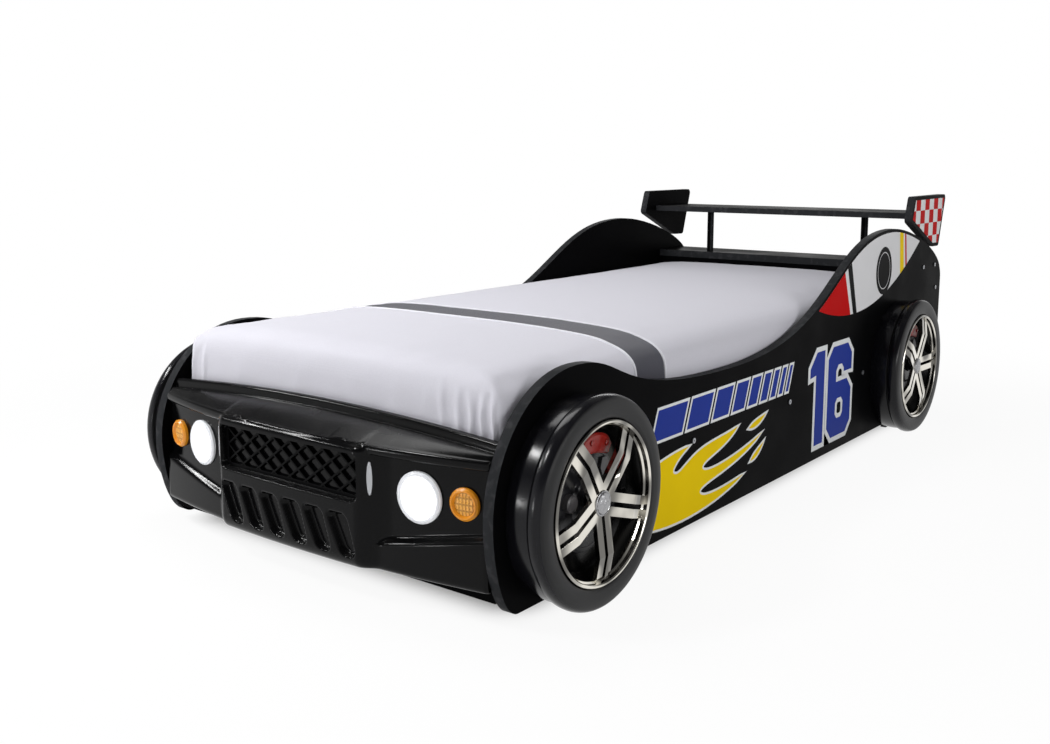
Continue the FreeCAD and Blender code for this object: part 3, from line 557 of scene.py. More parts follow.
def rounded(corners, steps=5):
    """A (distance, radius) profile whose corners, given as (d, r, rounding), are rounded off."""
    path = []
    count = len(corners)
    for i, (d, r, size) in enumerate(corners):
        here = Vector((d, r))
        if size == 0:
            path.append(here)
            continue
        before = Vector(corners[i - 1][:2])
        after = Vector(corners[(i + 1) % count][:2])
        a = here + (before - here).normalized() * size
        b = here + (after - here).normalized() * size
        for k in range(steps + 1):
            t = k / steps
            path.append(a * (1 - t) ** 2 + here * 2 * t * (1 - t) + b * t ** 2)
    return [tuple(p) for p in path]


def joined(*shapes):
    """Several (points, faces) shapes as one."""
    points, faces = [], []
    for more_points, more_faces in shapes:
        faces += [[len(points) + v for v in face] for face in more_faces]
        points += more_points
    return points, faces


def ring_of(radius, degrees):
    """(y, z) of a place at a radius and an angle."""
    a = math.radians(degrees)
    return radius * math.cos(a), radius * math.sin(a)


# %% [markdown]
# ## Tyres
# Each tyre is one moulded ring. A glossy tread runs out from the panel, then a step, then a wall
# that bulges and turns over a round shoulder to the rim. Where it stands on the floor it is flat.
# A turned profile gives this shape best, with the lowest points held at the floor.

# %% Tyres
WHEELS = [(end, side) for end in ("front", "rear") for side in SIDES]
TYRE_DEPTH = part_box("tyre_front_left")[1].x - PANEL_FACE
TREAD = 0.1882
WALL = 0.1945
RIM = 0.150


def put_on_wheel(name, wheel, shape, material, slot, replaces="", sharp=28):
    """Places a shape, made about the X axis, on a wheel. No point goes below the floor."""
    low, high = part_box("wheel_rim_" + wheel)
    out = SIDES[wheel.split("_")[1]]
    placed = [(out * (PANEL_FACE + p.x), (low.y + high.y) / 2 + p.y, max((low.z + high.z) / 2 + p.z, 0.0))
              for p in shape[0]]
    piece = mesh_piece(f"{name}_{wheel}", placed, shape[1], material, slot=slot, sharp=sharp)
    if replaces:
        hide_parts(f"{replaces}_{wheel}")
    return piece


tyre_shape = turned_points(rounded([
    (0.0, RIM + 0.004, 0), (0.0, TREAD - 0.002, 0.0015), (0.020, TREAD, 0.004),
    (0.0465, TREAD - 0.0004, 0.0015), (0.0475, TREAD - 0.0035, 0.0012), (0.0500, TREAD - 0.0035, 0.0012),
    (0.0520, WALL - 0.0012, 0.0025), (0.0640, WALL, 0.005), (TYRE_DEPTH - 0.0035, WALL - 0.004, 0.0075),
    (TYRE_DEPTH, WALL - 0.020, 0.008), (TYRE_DEPTH - 0.0015, RIM + 0.006, 0.004),
    (TYRE_DEPTH - 0.006, RIM + 0.0005, 0.003), (0.040, RIM + 0.0005, 0)]), 160, closed=True)
for end, side in WHEELS:
    put_on_wheel("tyre_wall", f"{end}_{side}", tyre_shape, tyre_charcoal, "tyre_plastic", "tyre", 50)
print("tyre depth", round(TYRE_DEPTH, 4))

# %% [markdown]
# ## Rims, dishes, hubs and brakes
# The rim's ring and its five pairs of bars keep their shape and get a small bevel, so that the
# chrome catches light along every edge. Behind them lies a glossy black dish with a dark brake
# disc, a grey bracket and a red caliper. The hub's cap is a low dome of small flat facets.

# %% Rims, hubs and brakes
HUB_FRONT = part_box("hub_cap_front_left")[0].x - PANEL_FACE
DISC_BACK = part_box("brake_front_left")[0].x - PANEL_FACE


def hub_shape():
    """A low dome cut into small flat facets, like cut glass, with a plain ring round it."""
    around = 16
    points, faces = [], []
    rings = [(-0.0010, 0.0235), (0.0018, 0.0232), (0.0026, 0.0215), (0.0016, 0.0198), (0.0034, 0.0190),
             (0.0046, 0.0155), (0.0056, 0.0118), (0.0062, 0.0080), (0.0066, 0.0042)]
    for k, (d, r) in enumerate(rings):
        for j in range(around):
            rise = 0.0011 * noise.noise(Vector((k * 3.7, j * 2.3, 0.5))) if k > 3 else 0
            points.append(Vector((HUB_FRONT + d + rise, *ring_of(r, 360 * (j + 0.5 * k) / around))))
    for a, b, c, d in rows_to_faces(len(rings), around, False, True):
        faces += [[a, b, d], [b, c, d]]
    return points, faces + [list(range(len(points) - around, len(points)))]


def bracket_shape():
    """The plate that holds the caliper, and a round housing on the other side of the hub."""
    low, high = DISC_BACK + 0.0032, DISC_BACK + 0.0075
    corners = [(22, 56), (22, 74), (30, 84), (52, 88), (60, 80), (56, 62), (40, 54)]
    plate = [Vector((d, *ring_of(r * MM, a))) for d in (low, high) for a, r in corners]
    n = len(corners)
    walls = rows_to_faces(2, n, False, True) + [list(range(n))[::-1], [n + i for i in range(n)]]
    pot, pot_faces = turned_points([(low, 0.0), (low, 0.017), (high + 0.006, 0.016), (high + 0.008, 0.013),
                                    (high + 0.008, 0.0)], 28, closed=False)
    middle = Vector((0, *ring_of(0.061, 172)))
    return joined((plate, walls), ([p + middle for p in pot], pot_faces))


def disc_shape():
    """A brake disc with a raised hub and a groove near its rim."""
    profile = [(0.0002, 0.017, 0), (0.009, 0.018, 0.002), (0.009, 0.044, 0.003), (0.003, 0.050, 0.002),
               (0.003, 0.086, 0.0005), (0.0024, 0.087, 0.0005), (0.003, 0.088, 0.0005), (0.003, 0.095, 0.0008),
               (0.0002, 0.095, 0)]
    return turned_points(rounded([(DISC_BACK + d, r, size) for d, r, size in profile], 3), 96, closed=True)


def caliper_shape():
    """A block bent round the disc's rim, thick in the middle, with a rib and two bolt heads."""
    middle_angle, half_angle = 80, 23
    low, high = DISC_BACK + 0.0032, DISC_BACK + 0.0158
    columns, points = 17, []
    for i in range(columns):
        s = 2 * i / (columns - 1) - 1
        top = low + (high - low) * (1 - 0.25 * abs(s) ** 3)
        r0 = 0.086 + 0.004 * abs(s) ** 3
        r1 = 0.122 - 0.008 * abs(s) ** 3
        rib = 0.0016 * math.exp(-(s / 0.12) ** 2)
        section = [(low, r0), (top - 0.002, r0), (top, r0 + 0.003), (top + rib, (r0 + r1) / 2),
                   (top, r1 - 0.004), (top - 0.003, r1), (low, r1)]
        points += [Vector((d, *ring_of(r, middle_angle + s * half_angle))) for d, r in section]
    n = len(section)
    block = rows_to_faces(columns, n, False, True) + [list(range(n))[::-1], list(range(len(points) - n, len(points)))]
    head, head_faces = turned_points([(0, 0.0), (0, 0.0055), (0.004, 0.0055), (0.005, 0.004), (0.005, 0.0)],
                                     6, closed=False)
    spots = [Vector((high - 0.0025, *ring_of(0.106, middle_angle + offset * half_angle)))
             for offset in (-0.55, 0.55)]
    return joined((points, block), *(([p + spot for p in head], head_faces) for spot in spots))


for end, side in WHEELS:
    wheel = f"{end}_{side}"
    dress("wheel_rim_" + wheel, chrome, 0.9)
    dress("wheel_dish_" + wheel, dish_black)
    hub = put_on_wheel("hub_facets", wheel, hub_shape(), cut_chrome, "chrome_plated", "hub_cap")
    hub.data.shade_flat()
    put_on_wheel("caliper_bracket", wheel, bracket_shape(), bracket_grey, "brake_trim")
    put_on_wheel("brake_disc", wheel, disc_shape(), disc_dark, "dark_dish", "brake")
    put_on_wheel("caliper", wheel, caliper_shape(), caliper_red, "brake_trim")
print("wheels:", len(WHEELS))

# %% [markdown]
# ## Bumper
# The bumper is one sheet of plastic, heated and drawn over a mould. Such a skin has no sharp edge
# anywhere: corners are round, hollows have fillets and the lower edge turns in. One fine grid of
# points can give all of that. Each column stands at one place across the bed. Its points climb
# from the lower edge over the front, round the roll and back over the ledge to the mattress.
# Every form (bay, skirt, bulge) has a reach in front of the mattress space, and they are joined
# by a soft maximum, which makes the fillets by itself.

# %% Bumper curves
BUMPER_HALF = HALF_SPACE - 0.4 * MM
HEADLIGHT, INDICATOR = (0.3060, 0.2085), (0.3995, 0.2115)     # distance from the middle, and height
BAY_MIDDLE, BAY_END = 0.0726, 0.033
ROLL_MIDDLE, ROLL_END = 0.099, 0.042
BULGE_HALF = 0.196
SLOT_STEP, SLOT_LOW, SLOT_HIGH = 0.062, 0.082, 0.160


def bow_radius(middle, end):
    return (HALF_SPACE ** 2 + (middle - end) ** 2) / (2 * (middle - end))


def bow(x, middle, end):
    """Reach of a circular bow across the bed."""
    radius = bow_radius(middle, end)
    return middle - (radius - math.sqrt(radius ** 2 - x ** 2))


def soft_max(a, b, blend):
    """The larger of two values, with a round transition of the given width."""
    h = max(blend - abs(a - b), 0) / blend
    return max(a, b) + h * h * blend / 4


def smooth(low, high, v):
    """0 below low, 1 above high, and a smooth step between."""
    t = min(max((v - low) / (high - low), 0), 1)
    return t * t * (3 - 2 * t)


def turned_in(depth, share):
    """How far a round edge has turned in: nothing at share 0, and its whole depth at 1."""
    return depth * (1 - math.sqrt(max(1 - min(max(share, 0), 1) ** 2, 0)))


def bulge_reach(x, z):
    """The middle part: a bowed face with slanted sides, round at the top and the bottom."""
    face = 0.100 + 0.005 * (1 - (x / BULGE_HALF) ** 2)
    side = 0.1005 - (abs(x) - BULGE_HALF) * 1.04
    drawn_in = turned_in(0.014, (z - 0.274) / 0.0155) + turned_in(0.016, (0.088 - z) / 0.026)
    return -soft_max(-face, -side, 0.012) - drawn_in


def skirt_reach(x, z):
    """The lower part of a bay. Its ridge rises outwards and has a hollow fillet above it."""
    ridge = 0.112 + (abs(x) - 0.233) / (HALF_SPACE - 0.233) * 0.042
    out = 0.014 * (1 - smooth(ridge - 0.003, ridge + 0.014, z))
    return bow(x, BAY_MIDDLE, BAY_END) + out - turned_in(0.008, (0.074 - z) / 0.012)


def box_depth(x, z, half_x, low_z, high_z, corner):
    """How far a point lies outside a rectangle with round corners (below 0: inside)."""
    dx = abs(x) - (half_x - corner)
    dz = abs(z - (low_z + high_z) / 2) - ((high_z - low_z) / 2 - corner)
    return math.hypot(max(dx, 0), max(dz, 0)) + min(max(dx, dz), 0) - corner


def slot_depth(x, z):
    """How far a point lies outside the nearest leaf-shaped slot."""
    up = (z - 0.084) / 0.074
    lean = 0.015 - 0.030 * up
    number = min(max(round((x - lean) / SLOT_STEP + 2.5), 0), 5)
    wide = 0.0170 + 0.0080 * min(max(up, 0), 1) ** 0.7
    return box_depth(x - (number - 2.5) * SLOT_STEP - lean, z, wide, SLOT_LOW, SLOT_HIGH, 0.013)


def front_reach(x, z):
    """Reach of the bumper's front: bay and skirt, bulge, then the hollows in the bulge."""
    reach = soft_max(skirt_reach(x, z), bulge_reach(x, z), 0.012)
    grille = 1 - smooth(-0.0028, 0.0014, box_depth(x, z, 0.1905, 0.1865, 0.2785, 0.014))
    reach = reach + (0.0798 - reach) * grille
    return reach - 0.0138 * (1 - smooth(-0.0055, 0.0022, slot_depth(x, z)))


# %% Bumper skin
def spaced(*runs):
    """Values from run to run: (from, to, count) without the end value, then the last end."""
    values = [a + (b - a) * k / n for a, b, n in runs for k in range(n)]
    return values + [runs[-1][1]]


def bumper_column(x):
    """Points (y, z) from the inside of the lower edge, over the front and the ledge, to the back."""
    arch = 0.018 * (1 - (x / HALF_SPACE) ** 2)
    roll = bow(x, ROLL_MIDDLE, ROLL_END)
    points = [(-front_reach(x, 0.0635) + 0.016, 0.0640), (-front_reach(x, 0.0635) + 0.006, 0.0632)]
    for z in spaced((0.0635, 0.082, 12), (0.082, 0.160, 32), (0.160, 0.184, 8), (0.184, 0.192, 5),
                    (0.192, 0.270, 26), (0.270, 0.2745, 3)):
        points.append((-front_reach(x, z), z))
    under = front_reach(x, 0.2745)
    for k in range(1, 4):
        z = 0.2745 + 0.0001 * k
        points.append((-soft_max(under + (roll - 0.006 - under) * k / 3, bulge_reach(x, z), 0.003), z))
    for k in range(1, 13):
        a = math.pi * k / 12
        z = 0.2838 - 0.0092 * math.cos(a)
        out = roll - 0.006 + 0.006 * math.sin(a)
        if a < math.pi / 2 or bulge_reach(x, z) > out:
            out = soft_max(out, bulge_reach(x, z), 0.004)
        points.append((-out, z))
    start = Vector(points[-1])
    groove = Vector((-0.0225, 0.3015 + arch))
    for k in range(1, 13):
        t = k / 12
        p = start.lerp(groove, t)
        points.append((p.x, p.y + 0.0022 * math.sin(math.pi * t)))
    lip = 0.3100 + arch + 0.009
    points += [(-0.0200, 0.3008 + arch), (-0.0186, 0.3024 + arch), (-0.0176, 0.3070 + arch),
               (-0.0168, lip - 0.0050), (-0.0150, lip - 0.0018), (-0.0115, lip - 0.0003), (-0.0070, lip),
               (-0.0030, lip - 0.0010), (-0.0008, lip - 0.0040), (-0.0004, lip - 0.0100), (-0.0004, 0.2750)]
    return points


def lamp_hole(x, z):
    """True where the skin is open behind a lamp's ring."""
    return any(math.hypot((abs(x) - lamp[0]) * 1.01, z - lamp[1]) < radius
               for lamp, radius in ((HEADLIGHT, 0.0430), (INDICATOR, 0.0245)))


def make_bumper():
    half = BUMPER_HALF
    fine = 0.245
    columns = spaced((-half, -half + 0.012, 5), (-half + 0.012, -fine, 50), (-fine, fine, 196),
                     (fine, half - 0.012, 50), (half - 0.012, half, 5))
    points = []
    for x in columns:
        edge = smooth(half - 0.006, half, abs(x)) * 0.003
        for y, z in bumper_column(x):
            points.append(Vector((x, y + edge * (y < -0.03) + space_front, z)))
    per_column = len(points) // len(columns)
    faces = []
    for face in rows_to_faces(len(columns), per_column):
        middle = sum((points[i] for i in face), Vector()) / 4
        on_front = middle.y < -0.02 + space_front and middle.z < 0.262
        if not (on_front and lamp_hole(middle.x, middle.z)):
            faces.append(face)
    bumper = mesh_piece("bumper_skin", points, faces, bumper_black, sharp=75)
    sheet = bumper.modifiers.new("wall", "SOLIDIFY")
    sheet.thickness = 0.0028
    sheet.offset = -1
    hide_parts("bumper_shell")
    return bumper


bumper = make_bumper()
print("bumper faces:", len(bumper.data.polygons))

# %% [markdown]
# ## Lamps
# The headlights are push lights with a white lens that shines. Their lens is smooth, so it keeps its construction and
# only gets a finish that gives off light. The indicators are amber, with a ring and a lens pressed in a pattern of
# small ribs: a disc of points whose height follows the ribs, and a finish with painted shade in the hollows. Ring and
# lens also get a faint painted glow.

# %% Lamp finishes and lenses
LENS_FLUTE = 0.0066
LENS_BAR = 0.011


def lit_lens():
    f = Finish("lit_white_lens")
    grain = f.place(grain_group, Scale=240.0, Smooth=0.1, Rough=0.2)
    tone = f.mix(noise_value(f.tree, 240.0, 1.0), (240, 242, 246), (250, 250, 252))
    return f.done(tone, grain["Roughness"], grain["Height"], 0.0002,
                  Emission_Color=(1, 1, 1, 1), Emission_Strength=1.1)


def fluted_lens():
    """Amber plastic with painted shade in the hollows between its flutes, and a faint painted glow."""
    f = Finish("amber_lens_plastic")
    grain = f.place(grain_group, Scale=500.0, Smooth=0.08, Rough=0.2)
    place = parts(f.tree, node(f.tree, "TexCoord").outputs["Object"])
    across, up = (ramp(f.tree, calc(f.tree, "SINE", calc(f.tree, "MULTIPLY", place[axis], math.tau / step)), 0.35, 0.9)
                  for axis, step in (("X", LENS_FLUTE), ("Z", LENS_BAR)))
    # dark: the hollows between the flutes. Their darker amber is painted shade, and the same mask is the bump height
    dark = calc(f.tree, "MAXIMUM", across, up)
    bright = f.mix(grain["Tone"], (214, 150, 52), (240, 184, 84))
    # the lens's faint amber emission is a painted glow
    return f.done(f.mix(calc(f.tree, "MULTIPLY", dark, 0.75), bright, (150, 92, 24)), grain["Roughness"],
                  dark, 0.0004, Emission_Color=linear(240, 165, 50), Emission_Strength=0.08)


# the ring's faint emission is a painted glow
amber_ring = two_tone("amber_ring_plastic", (228, 150, 36), (204, 124, 24), 0.12, 0.25,
                      Emission_Color=linear(226, 140, 20), Emission_Strength=0.1)
amber_lens = fluted_lens()
lens_white = lit_lens()


def bay_frame(lamp, sign):
    """Matrix whose Z axis stands square on the bay's curve at a lamp, out of the bumper."""
    x, z = lamp
    lean = math.asin(x / bow_radius(BAY_MIDDLE, BAY_END))
    out = Vector((sign * math.sin(lean), -math.cos(lean), 0))
    up = Vector((0, 0, 1))
    turn = Matrix((up.cross(out), up, out)).transposed().to_4x4()
    return Matrix.Translation((sign * x, space_front - bow(x, BAY_MIDDLE, BAY_END), z)) @ turn


def ribbed_lens(radius, height, rings=14, steps=64):
    """A low dome with ribs one way and shallow steps the other."""
    points = [Vector((0, 0, height + 0.0015))]
    for i in range(1, rings + 1):
        r = radius * i / rings
        for k in range(steps):
            x, y = ring_of(r, 360 * k / steps)
            step = abs(y % LENS_BAR - LENS_BAR / 2) < 0.0013
            ribs = 0.0012 * abs(math.sin(math.pi * x / LENS_FLUTE)) - 0.0007 * step
            dome = 0.0015 * (1 - (r / radius) ** 2)
            points.append(Vector((x, y, height + dome + ribs * (i < rings - 1))))
    faces = [[0, 1 + k, 1 + (k + 1) % steps] for k in range(steps)]
    return points, faces + rows_to_faces(rings, steps, False, True, start=1)


for side, sign in SIDES.items():
    dress("headlight_lens_" + side, lens_white, 0.5)
    dress("indicator_ring_" + side, amber_ring)
    where = bay_frame(INDICATOR, sign)
    points, faces = ribbed_lens(0.0199, 0.005)
    lens_piece = mesh_piece("indicator_ribs_" + side, [where @ p for p in points], faces, amber_lens,
                            slot="amber_lens", sharp=30)
    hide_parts("indicator_lens_" + side)
print("lamps dressed: 4")

# %% [markdown]
# ## Springs behind the headlights
# A coil spring pushes each lens back. It isn't seen in the whole bed. In the real light its back end stays on the
# housing while its front end follows the lens, so it is squashed by the push. Here each spring is built at its length
# at rest.

# %% Light springs
SPRING_BACK, SPRING_FRONT, LENS_TRAVEL = -14.0 * MM, -5.0 * MM, 2.5 * MM
WIRE = 0.6 * MM


def coil(radius, wire, low, high, turns, steps=22, around=8):
    """A wire coil about the Z axis, closed at both ends."""
    points = []
    total = round(turns * steps)
    for i in range(total + 1):
        a = math.tau * i / steps
        out = Vector((math.cos(a), math.sin(a), 0))
        middle = out * radius + Vector((0, 0, low + (high - low) * i / total))
        for k in range(around):
            b = math.tau * k / around
            points.append(middle + wire * (math.cos(b) * out + math.sin(b) * Vector((0, 0, 1))))
    ends = [list(range(around)), list(range(total * around, (total + 1) * around))]
    return points, rows_to_faces(total + 1, around, False, True) + ends


for side, sign in SIDES.items():
    where = bay_frame(HEADLIGHT, sign)
    points, faces = coil(0.0063, WIRE, SPRING_BACK + WIRE + 0.1 * MM, SPRING_FRONT - WIRE - 0.1 * MM, 3.5)
    spring = mesh_piece("light_spring_" + side, [where @ p for p in points], faces, spring_wire,
                        slot="spring_steel", sharp=60)
    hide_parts("headlight_spring_" + side)
    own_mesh(spring)
print("springs: 2, each", round((SPRING_FRONT - SPRING_BACK) / MM, 1), "mm long at rest")

# %% [markdown]
# ## Stickers on the side panels
# The panels carry printed film: slanted bars, a flame, a number and a large grey field on the rear
# wing. The designs here are plain ones of a kind found on any toy racing car. Each sticker is a
# flat outline filled by a 2D curve, which copes with holes, and lies a third of a millimetre off
# the board. A second, larger outline in white below it makes the border. Outlines are given in
# millimetres, as (distance along the bed, height).

# %% Sticker finishes and outlines
def film(name, colour, darker):
    return two_tone(name, colour, darker, 0.3, 0.42, 900.0, 0.00002, Specular_IOR_Level=0.01)


film_white = film("film_white", (226, 228, 228), (216, 218, 219))
film_grey = film("film_grey", (222, 222, 224), (213, 213, 215))
film_blue = film("film_blue", (44, 62, 148), (38, 54, 136))
film_yellow = film("film_yellow", (238, 206, 14), (228, 194, 10))
film_red = film("film_red", (190, 12, 12), (176, 8, 9))
film_black = film("film_black", (12, 12, 13), (9, 9, 10))


def bezier_outline(start, *pieces, steps=14):
    """A closed outline from cubic pieces (handle, handle, end)."""
    outline = [start]
    for a, b, end in pieces:
        here = outline[-1]
        for k in range(1, steps + 1):
            t = k / steps
            s = 1 - t
            outline.append(tuple(s ** 3 * here[i] + 3 * s * s * t * a[i] + 3 * s * t * t * b[i] + t ** 3 * end[i]
                                 for i in (0, 1)))
    return outline if math.dist(start, outline[-1]) > 0.01 else outline[:-1]


def edges_of(outline):
    return zip(outline, outline[1:] + outline[:1])


def runs_anticlockwise(outline):
    return sum(a[0] * b[1] - b[0] * a[1] for a, b in edges_of(outline)) > 0


def grown(outline, by, spike=3.0):
    """An outline moved outwards, by a negative amount inwards. Sharp tips grow into spikes."""
    way = 1 if runs_anticlockwise(outline) else -1
    result = []
    for i, here in enumerate(outline):
        before = (Vector(here) - Vector(outline[i - 1])).normalized()
        after = (Vector(outline[(i + 1) % len(outline)]) - Vector(here)).normalized()
        n0 = Vector((before.y, -before.x)) * way
        n1 = Vector((after.y, -after.x)) * way
        mid = n0 + n1 if (n0 + n1).length >= 0.05 else before - after
        mid.normalize()
        result.append(tuple(Vector(here) + mid * by / max(mid.dot(n0), 1 / spike)))
    return result


def sticker(name, outlines, material, level, sides=SIDES):
    """Puts filled outlines on the outside of the panels. level counts the layers below it."""
    for side in sides:
        flat = bpy.data.curves.new(name, "CURVE")
        flat.dimensions = "2D"
        flat.fill_mode = "BOTH"
        for outline in outlines:
            spline = flat.splines.new("POLY")
            spline.points.add(len(outline) - 1)
            for point, (y, z) in zip(spline.points, outline):
                point.co = (y * MM, z * MM, 0, 1)
            spline.use_cyclic_u = True
        points, faces = from_curve(flat)
        x = SIDES[side] * (PANEL_FACE + (0.3 + 0.15 * level) * MM)
        piece = mesh_piece(f"{name}_{side}", [(x, p.x + space_front, p.y) for p in points], faces, material,
                           slot="black_board")
        if piece.data.polygons[0].normal.x * SIDES[side] < 0:
            piece.data.flip_normals()


# %% Bars, flame and number
BARS_START, BAR_LOW, BAR_HIGH, BAR_SLANT, BAR_GAP = 440, 229, 291, 24, 20
BAR_WIDTHS = (118, 92, 72, 56, 43, 33, 25, 19, 14)
bars, start = [], BARS_START
for width in BAR_WIDTHS:
    end = start + width
    bars.append([(start, BAR_LOW), (end, BAR_LOW), (end + BAR_SLANT, BAR_HIGH), (start + BAR_SLANT, BAR_HIGH)])
    start = end + BAR_GAP
sticker("bars_border", [grown(bar, 6, 2.2) for bar in bars], film_white, 0)
sticker("bars", bars, film_blue, 1)

flame = bezier_outline(
    (404, 62), ((500, 34), (690, 30), (846, 84)), ((758, 74), (644, 66), (640, 92)),
    ((638, 118), (806, 108), (936, 178)), ((850, 150), (664, 124), (650, 150)),
    ((644, 176), (742, 170), (812, 222)), ((724, 208), (664, 214), (604, 190)),
    ((560, 172), (548, 160), (530, 168)), ((512, 178), (548, 206), (590, 222)),
    ((520, 222), (450, 206), (404, 196)))
flame = [(y, 30 + (z - 34) * 0.86) for y, z in flame]
sparks = [bezier_outline((866, 176), ((892, 168), (926, 176), (954, 196)), ((920, 190), (892, 190), (866, 176))),
          bezier_outline((878, 96), ((904, 94), (928, 108), (946, 130)), ((920, 118), (898, 114), (878, 96)))]
sticker("flame_border", [grown(shape, 5, 3.2) for shape in [flame] + sparks], film_white, 0)
sticker("flame", [flame] + sparks, film_yellow, 1)

ONE = [(-16, 182), (-16, 206), (24, 245), (74, 245), (74, 0), (20, 0), (20, 186)]
SIX = [(30, 0), (128, 0), (158, 30), (158, 118), (128, 148), (54, 148), (54, 178), (68, 193), (90, 193),
       (104, 180), (104, 170), (158, 170), (158, 215), (128, 245), (30, 245), (0, 215), (0, 30)]
SIX_HOLE = [(54, 60), (66, 48), (92, 48), (104, 60), (104, 90), (92, 102), (66, 102), (54, 90)]
NUMBER_MIDDLE, NUMBER_LOW = 1331, 55
for side, way in SIDES.items():
    def on_door(outline, shift):
        """Puts an outline on the door, and mirrors it for the right panel so that it reads."""
        return [(NUMBER_MIDDLE + way * (y + shift), z + NUMBER_LOW) for y, z in outline]
    border = [on_door(grown(ONE, 13, 1.4), -112), on_door(grown(SIX, 13, 1.3), -14),
              on_door(grown(SIX_HOLE, -12, 1.3), -14)]
    sticker("number_border", border, film_white, 0, (side,))
    sticker("number", [on_door(ONE, -112), on_door(SIX, -14), on_door(SIX_HOLE, -14)], film_blue, 1, (side,))
print("stickers on the panels:", len(bars), "bars, a flame and a number")


# %% [markdown]
# ## Rear wing and checks
# The grey field follows the rear wing's own edge at a small distance, so its outline is read from
# the board itself.

# %% Rear wing field
def top_edge(name, first, last):
    """The upper outline of a board between two places, as (y, z), without its bolt holes."""
    places = {(round((v.co.y - space_front) / MM, 1), round(v.co.z / MM, 1)) for v in cad[name].data.vertices}
    places = [p for p in places if first < p[0] < last]
    kept = {}
    for y, z in places:
        under = any(abs(y - b) < 30 and h > z + 30 + abs(y - b) for b, h in places)
        if not under and z > 300 and z > kept.get(y, 0):
            kept[y] = z
    return sorted(kept.items())


def height_at(edge, y):
    for (y0, z0), (y1, z1) in zip(edge, edge[1:]):
        if y0 <= y <= y1:
            return z0 + (z1 - z0) * (y - y0) / max(y1 - y0, 1e-6)
    return edge[-1][1]


wing_edge = top_edge("side_panel_left", 1100, 2160)
FIELD_FRONT, FIELD_LOW, FIELD_REAR = (1236, 408), (1513, 376), (1987, 545)
FIELD_MARGIN = 9


def field_low(y):
    """Lower border of the field: a parabola through its front tip, lowest place and rear tip."""
    (a, za), (b, zb), (c, zc) = FIELD_FRONT, FIELD_LOW, FIELD_REAR
    return (za * (y - b) * (y - c) / ((a - b) * (a - c)) + zb * (y - a) * (y - c) / ((b - a) * (b - c))
            + zc * (y - a) * (y - b) / ((c - a) * (c - b)))


def field_high(y):
    slope = (height_at(wing_edge, y + 8) - height_at(wing_edge, y - 8)) / 16
    return height_at(wing_edge, y) - FIELD_MARGIN * math.sqrt(1 + slope * slope)


def field_part(left, right, steps=40):
    """The part of the field between two lines, each given as (y at the bottom, y at the top)."""
    bottom = [left[0] + (right[0] - left[0]) * k / steps for k in range(steps + 1)]
    top = [right[1] + (left[1] - right[1]) * k / steps for k in range(steps + 1)]
    return [(y, field_low(y)) for y in bottom] + [(y, field_high(y)) for y in top]


def oval(y, z, radius, steps=48, squeeze=0.9):
    turns = [math.tau * k / steps for k in range(steps)]
    return [(y + radius * squeeze * math.cos(a), z + radius * math.sin(a)) for a in turns]


first = next(y for y in range(1150, 1500) if field_high(y) > field_low(y) + 1)
last = next(y for y in range(2120, 1800, -1) if field_high(y) > field_low(y) + 1)
print("wing outline:", len(wing_edge), "points. Field from", first, "to", last)
sticker("wing_field", [field_part((first, first), (last, last), steps=90)], film_grey, 0)
sticker("wing_red_front", [field_part((first, first), (1452, 1404))], film_red, 1)
sticker("wing_black_band", [field_part((1470, 1422), (1496, 1448))], film_black, 1)
sticker("wing_cap", [oval(1690, 474, radius) for radius in (68, 53, 50.5)], film_black, 1)
sticker("wing_yellow_bar", [field_part((1822, 1806), (1852, 1836))], film_yellow, 1)
sticker("wing_red_bar", [field_part((1864, 1848), (1876, 1860))], film_red, 1)


# %% Checks on the end plates
def clipped(shape, border):
    """The part of a polygon inside a convex border that runs anticlockwise."""
    for a, b in edges_of(border):
        def inside(p):
            return (b[0] - a[0]) * (p[1] - a[1]) - (b[1] - a[1]) * (p[0] - a[0])
        kept = []
        for p, q in edges_of(shape):
            if inside(p) >= 0:
                kept.append(p)
            if (inside(p) >= 0) != (inside(q) >= 0):
                t = inside(p) / (inside(p) - inside(q))
                kept.append((p[0] + (q[0] - p[0]) * t, p[1] + (q[1] - p[1]) * t))
        shape = kept
        if len(shape) < 3:
            return []
    return shape


PLATE = [(-67, -23), (137, -108), (195, -109), (246, 52), (-41, 51)]
PLATE_START = (1965, 625)
CHECK = 40
window = grown([(PLATE_START[0] + y, PLATE_START[1] + z) for y, z in PLATE], -11)
window = window if runs_anticlockwise(window) else window[::-1]
checks = [[], []]
for i in range(-3, 8):
    for j in range(-4, 3):
        y, z = PLATE_START[0] + i * CHECK + 12, PLATE_START[1] + j * CHECK + 8
        square = clipped([(y, z), (y + CHECK, z), (y + CHECK, z + CHECK), (y, z + CHECK)], window)
        if square:
            checks[(i + j) % 2].append(square)
sticker("checks_red", checks[1], film_red, 0)
sticker("checks_white", checks[0], film_white, 0)
print("checks:", len(checks[1]), "red and", len(checks[0]), "white")

# %% [markdown]
# ## Mattress cover
# The cover is thin cloth stretched over soft filling: it swells up in the middle, rolls over the
# sides in a wide shoulder, pulls in at its corners and has small folds where it is tucked in at
# the front. It starts as a box of even cells, rounded and crowned. A cloth simulation with a
# little pressure then lets the cloth find its own waves, and a limit keeps every point close to
# where it began, so that it can't reach the boards. The bottom is held still, because the slats
# carry it.

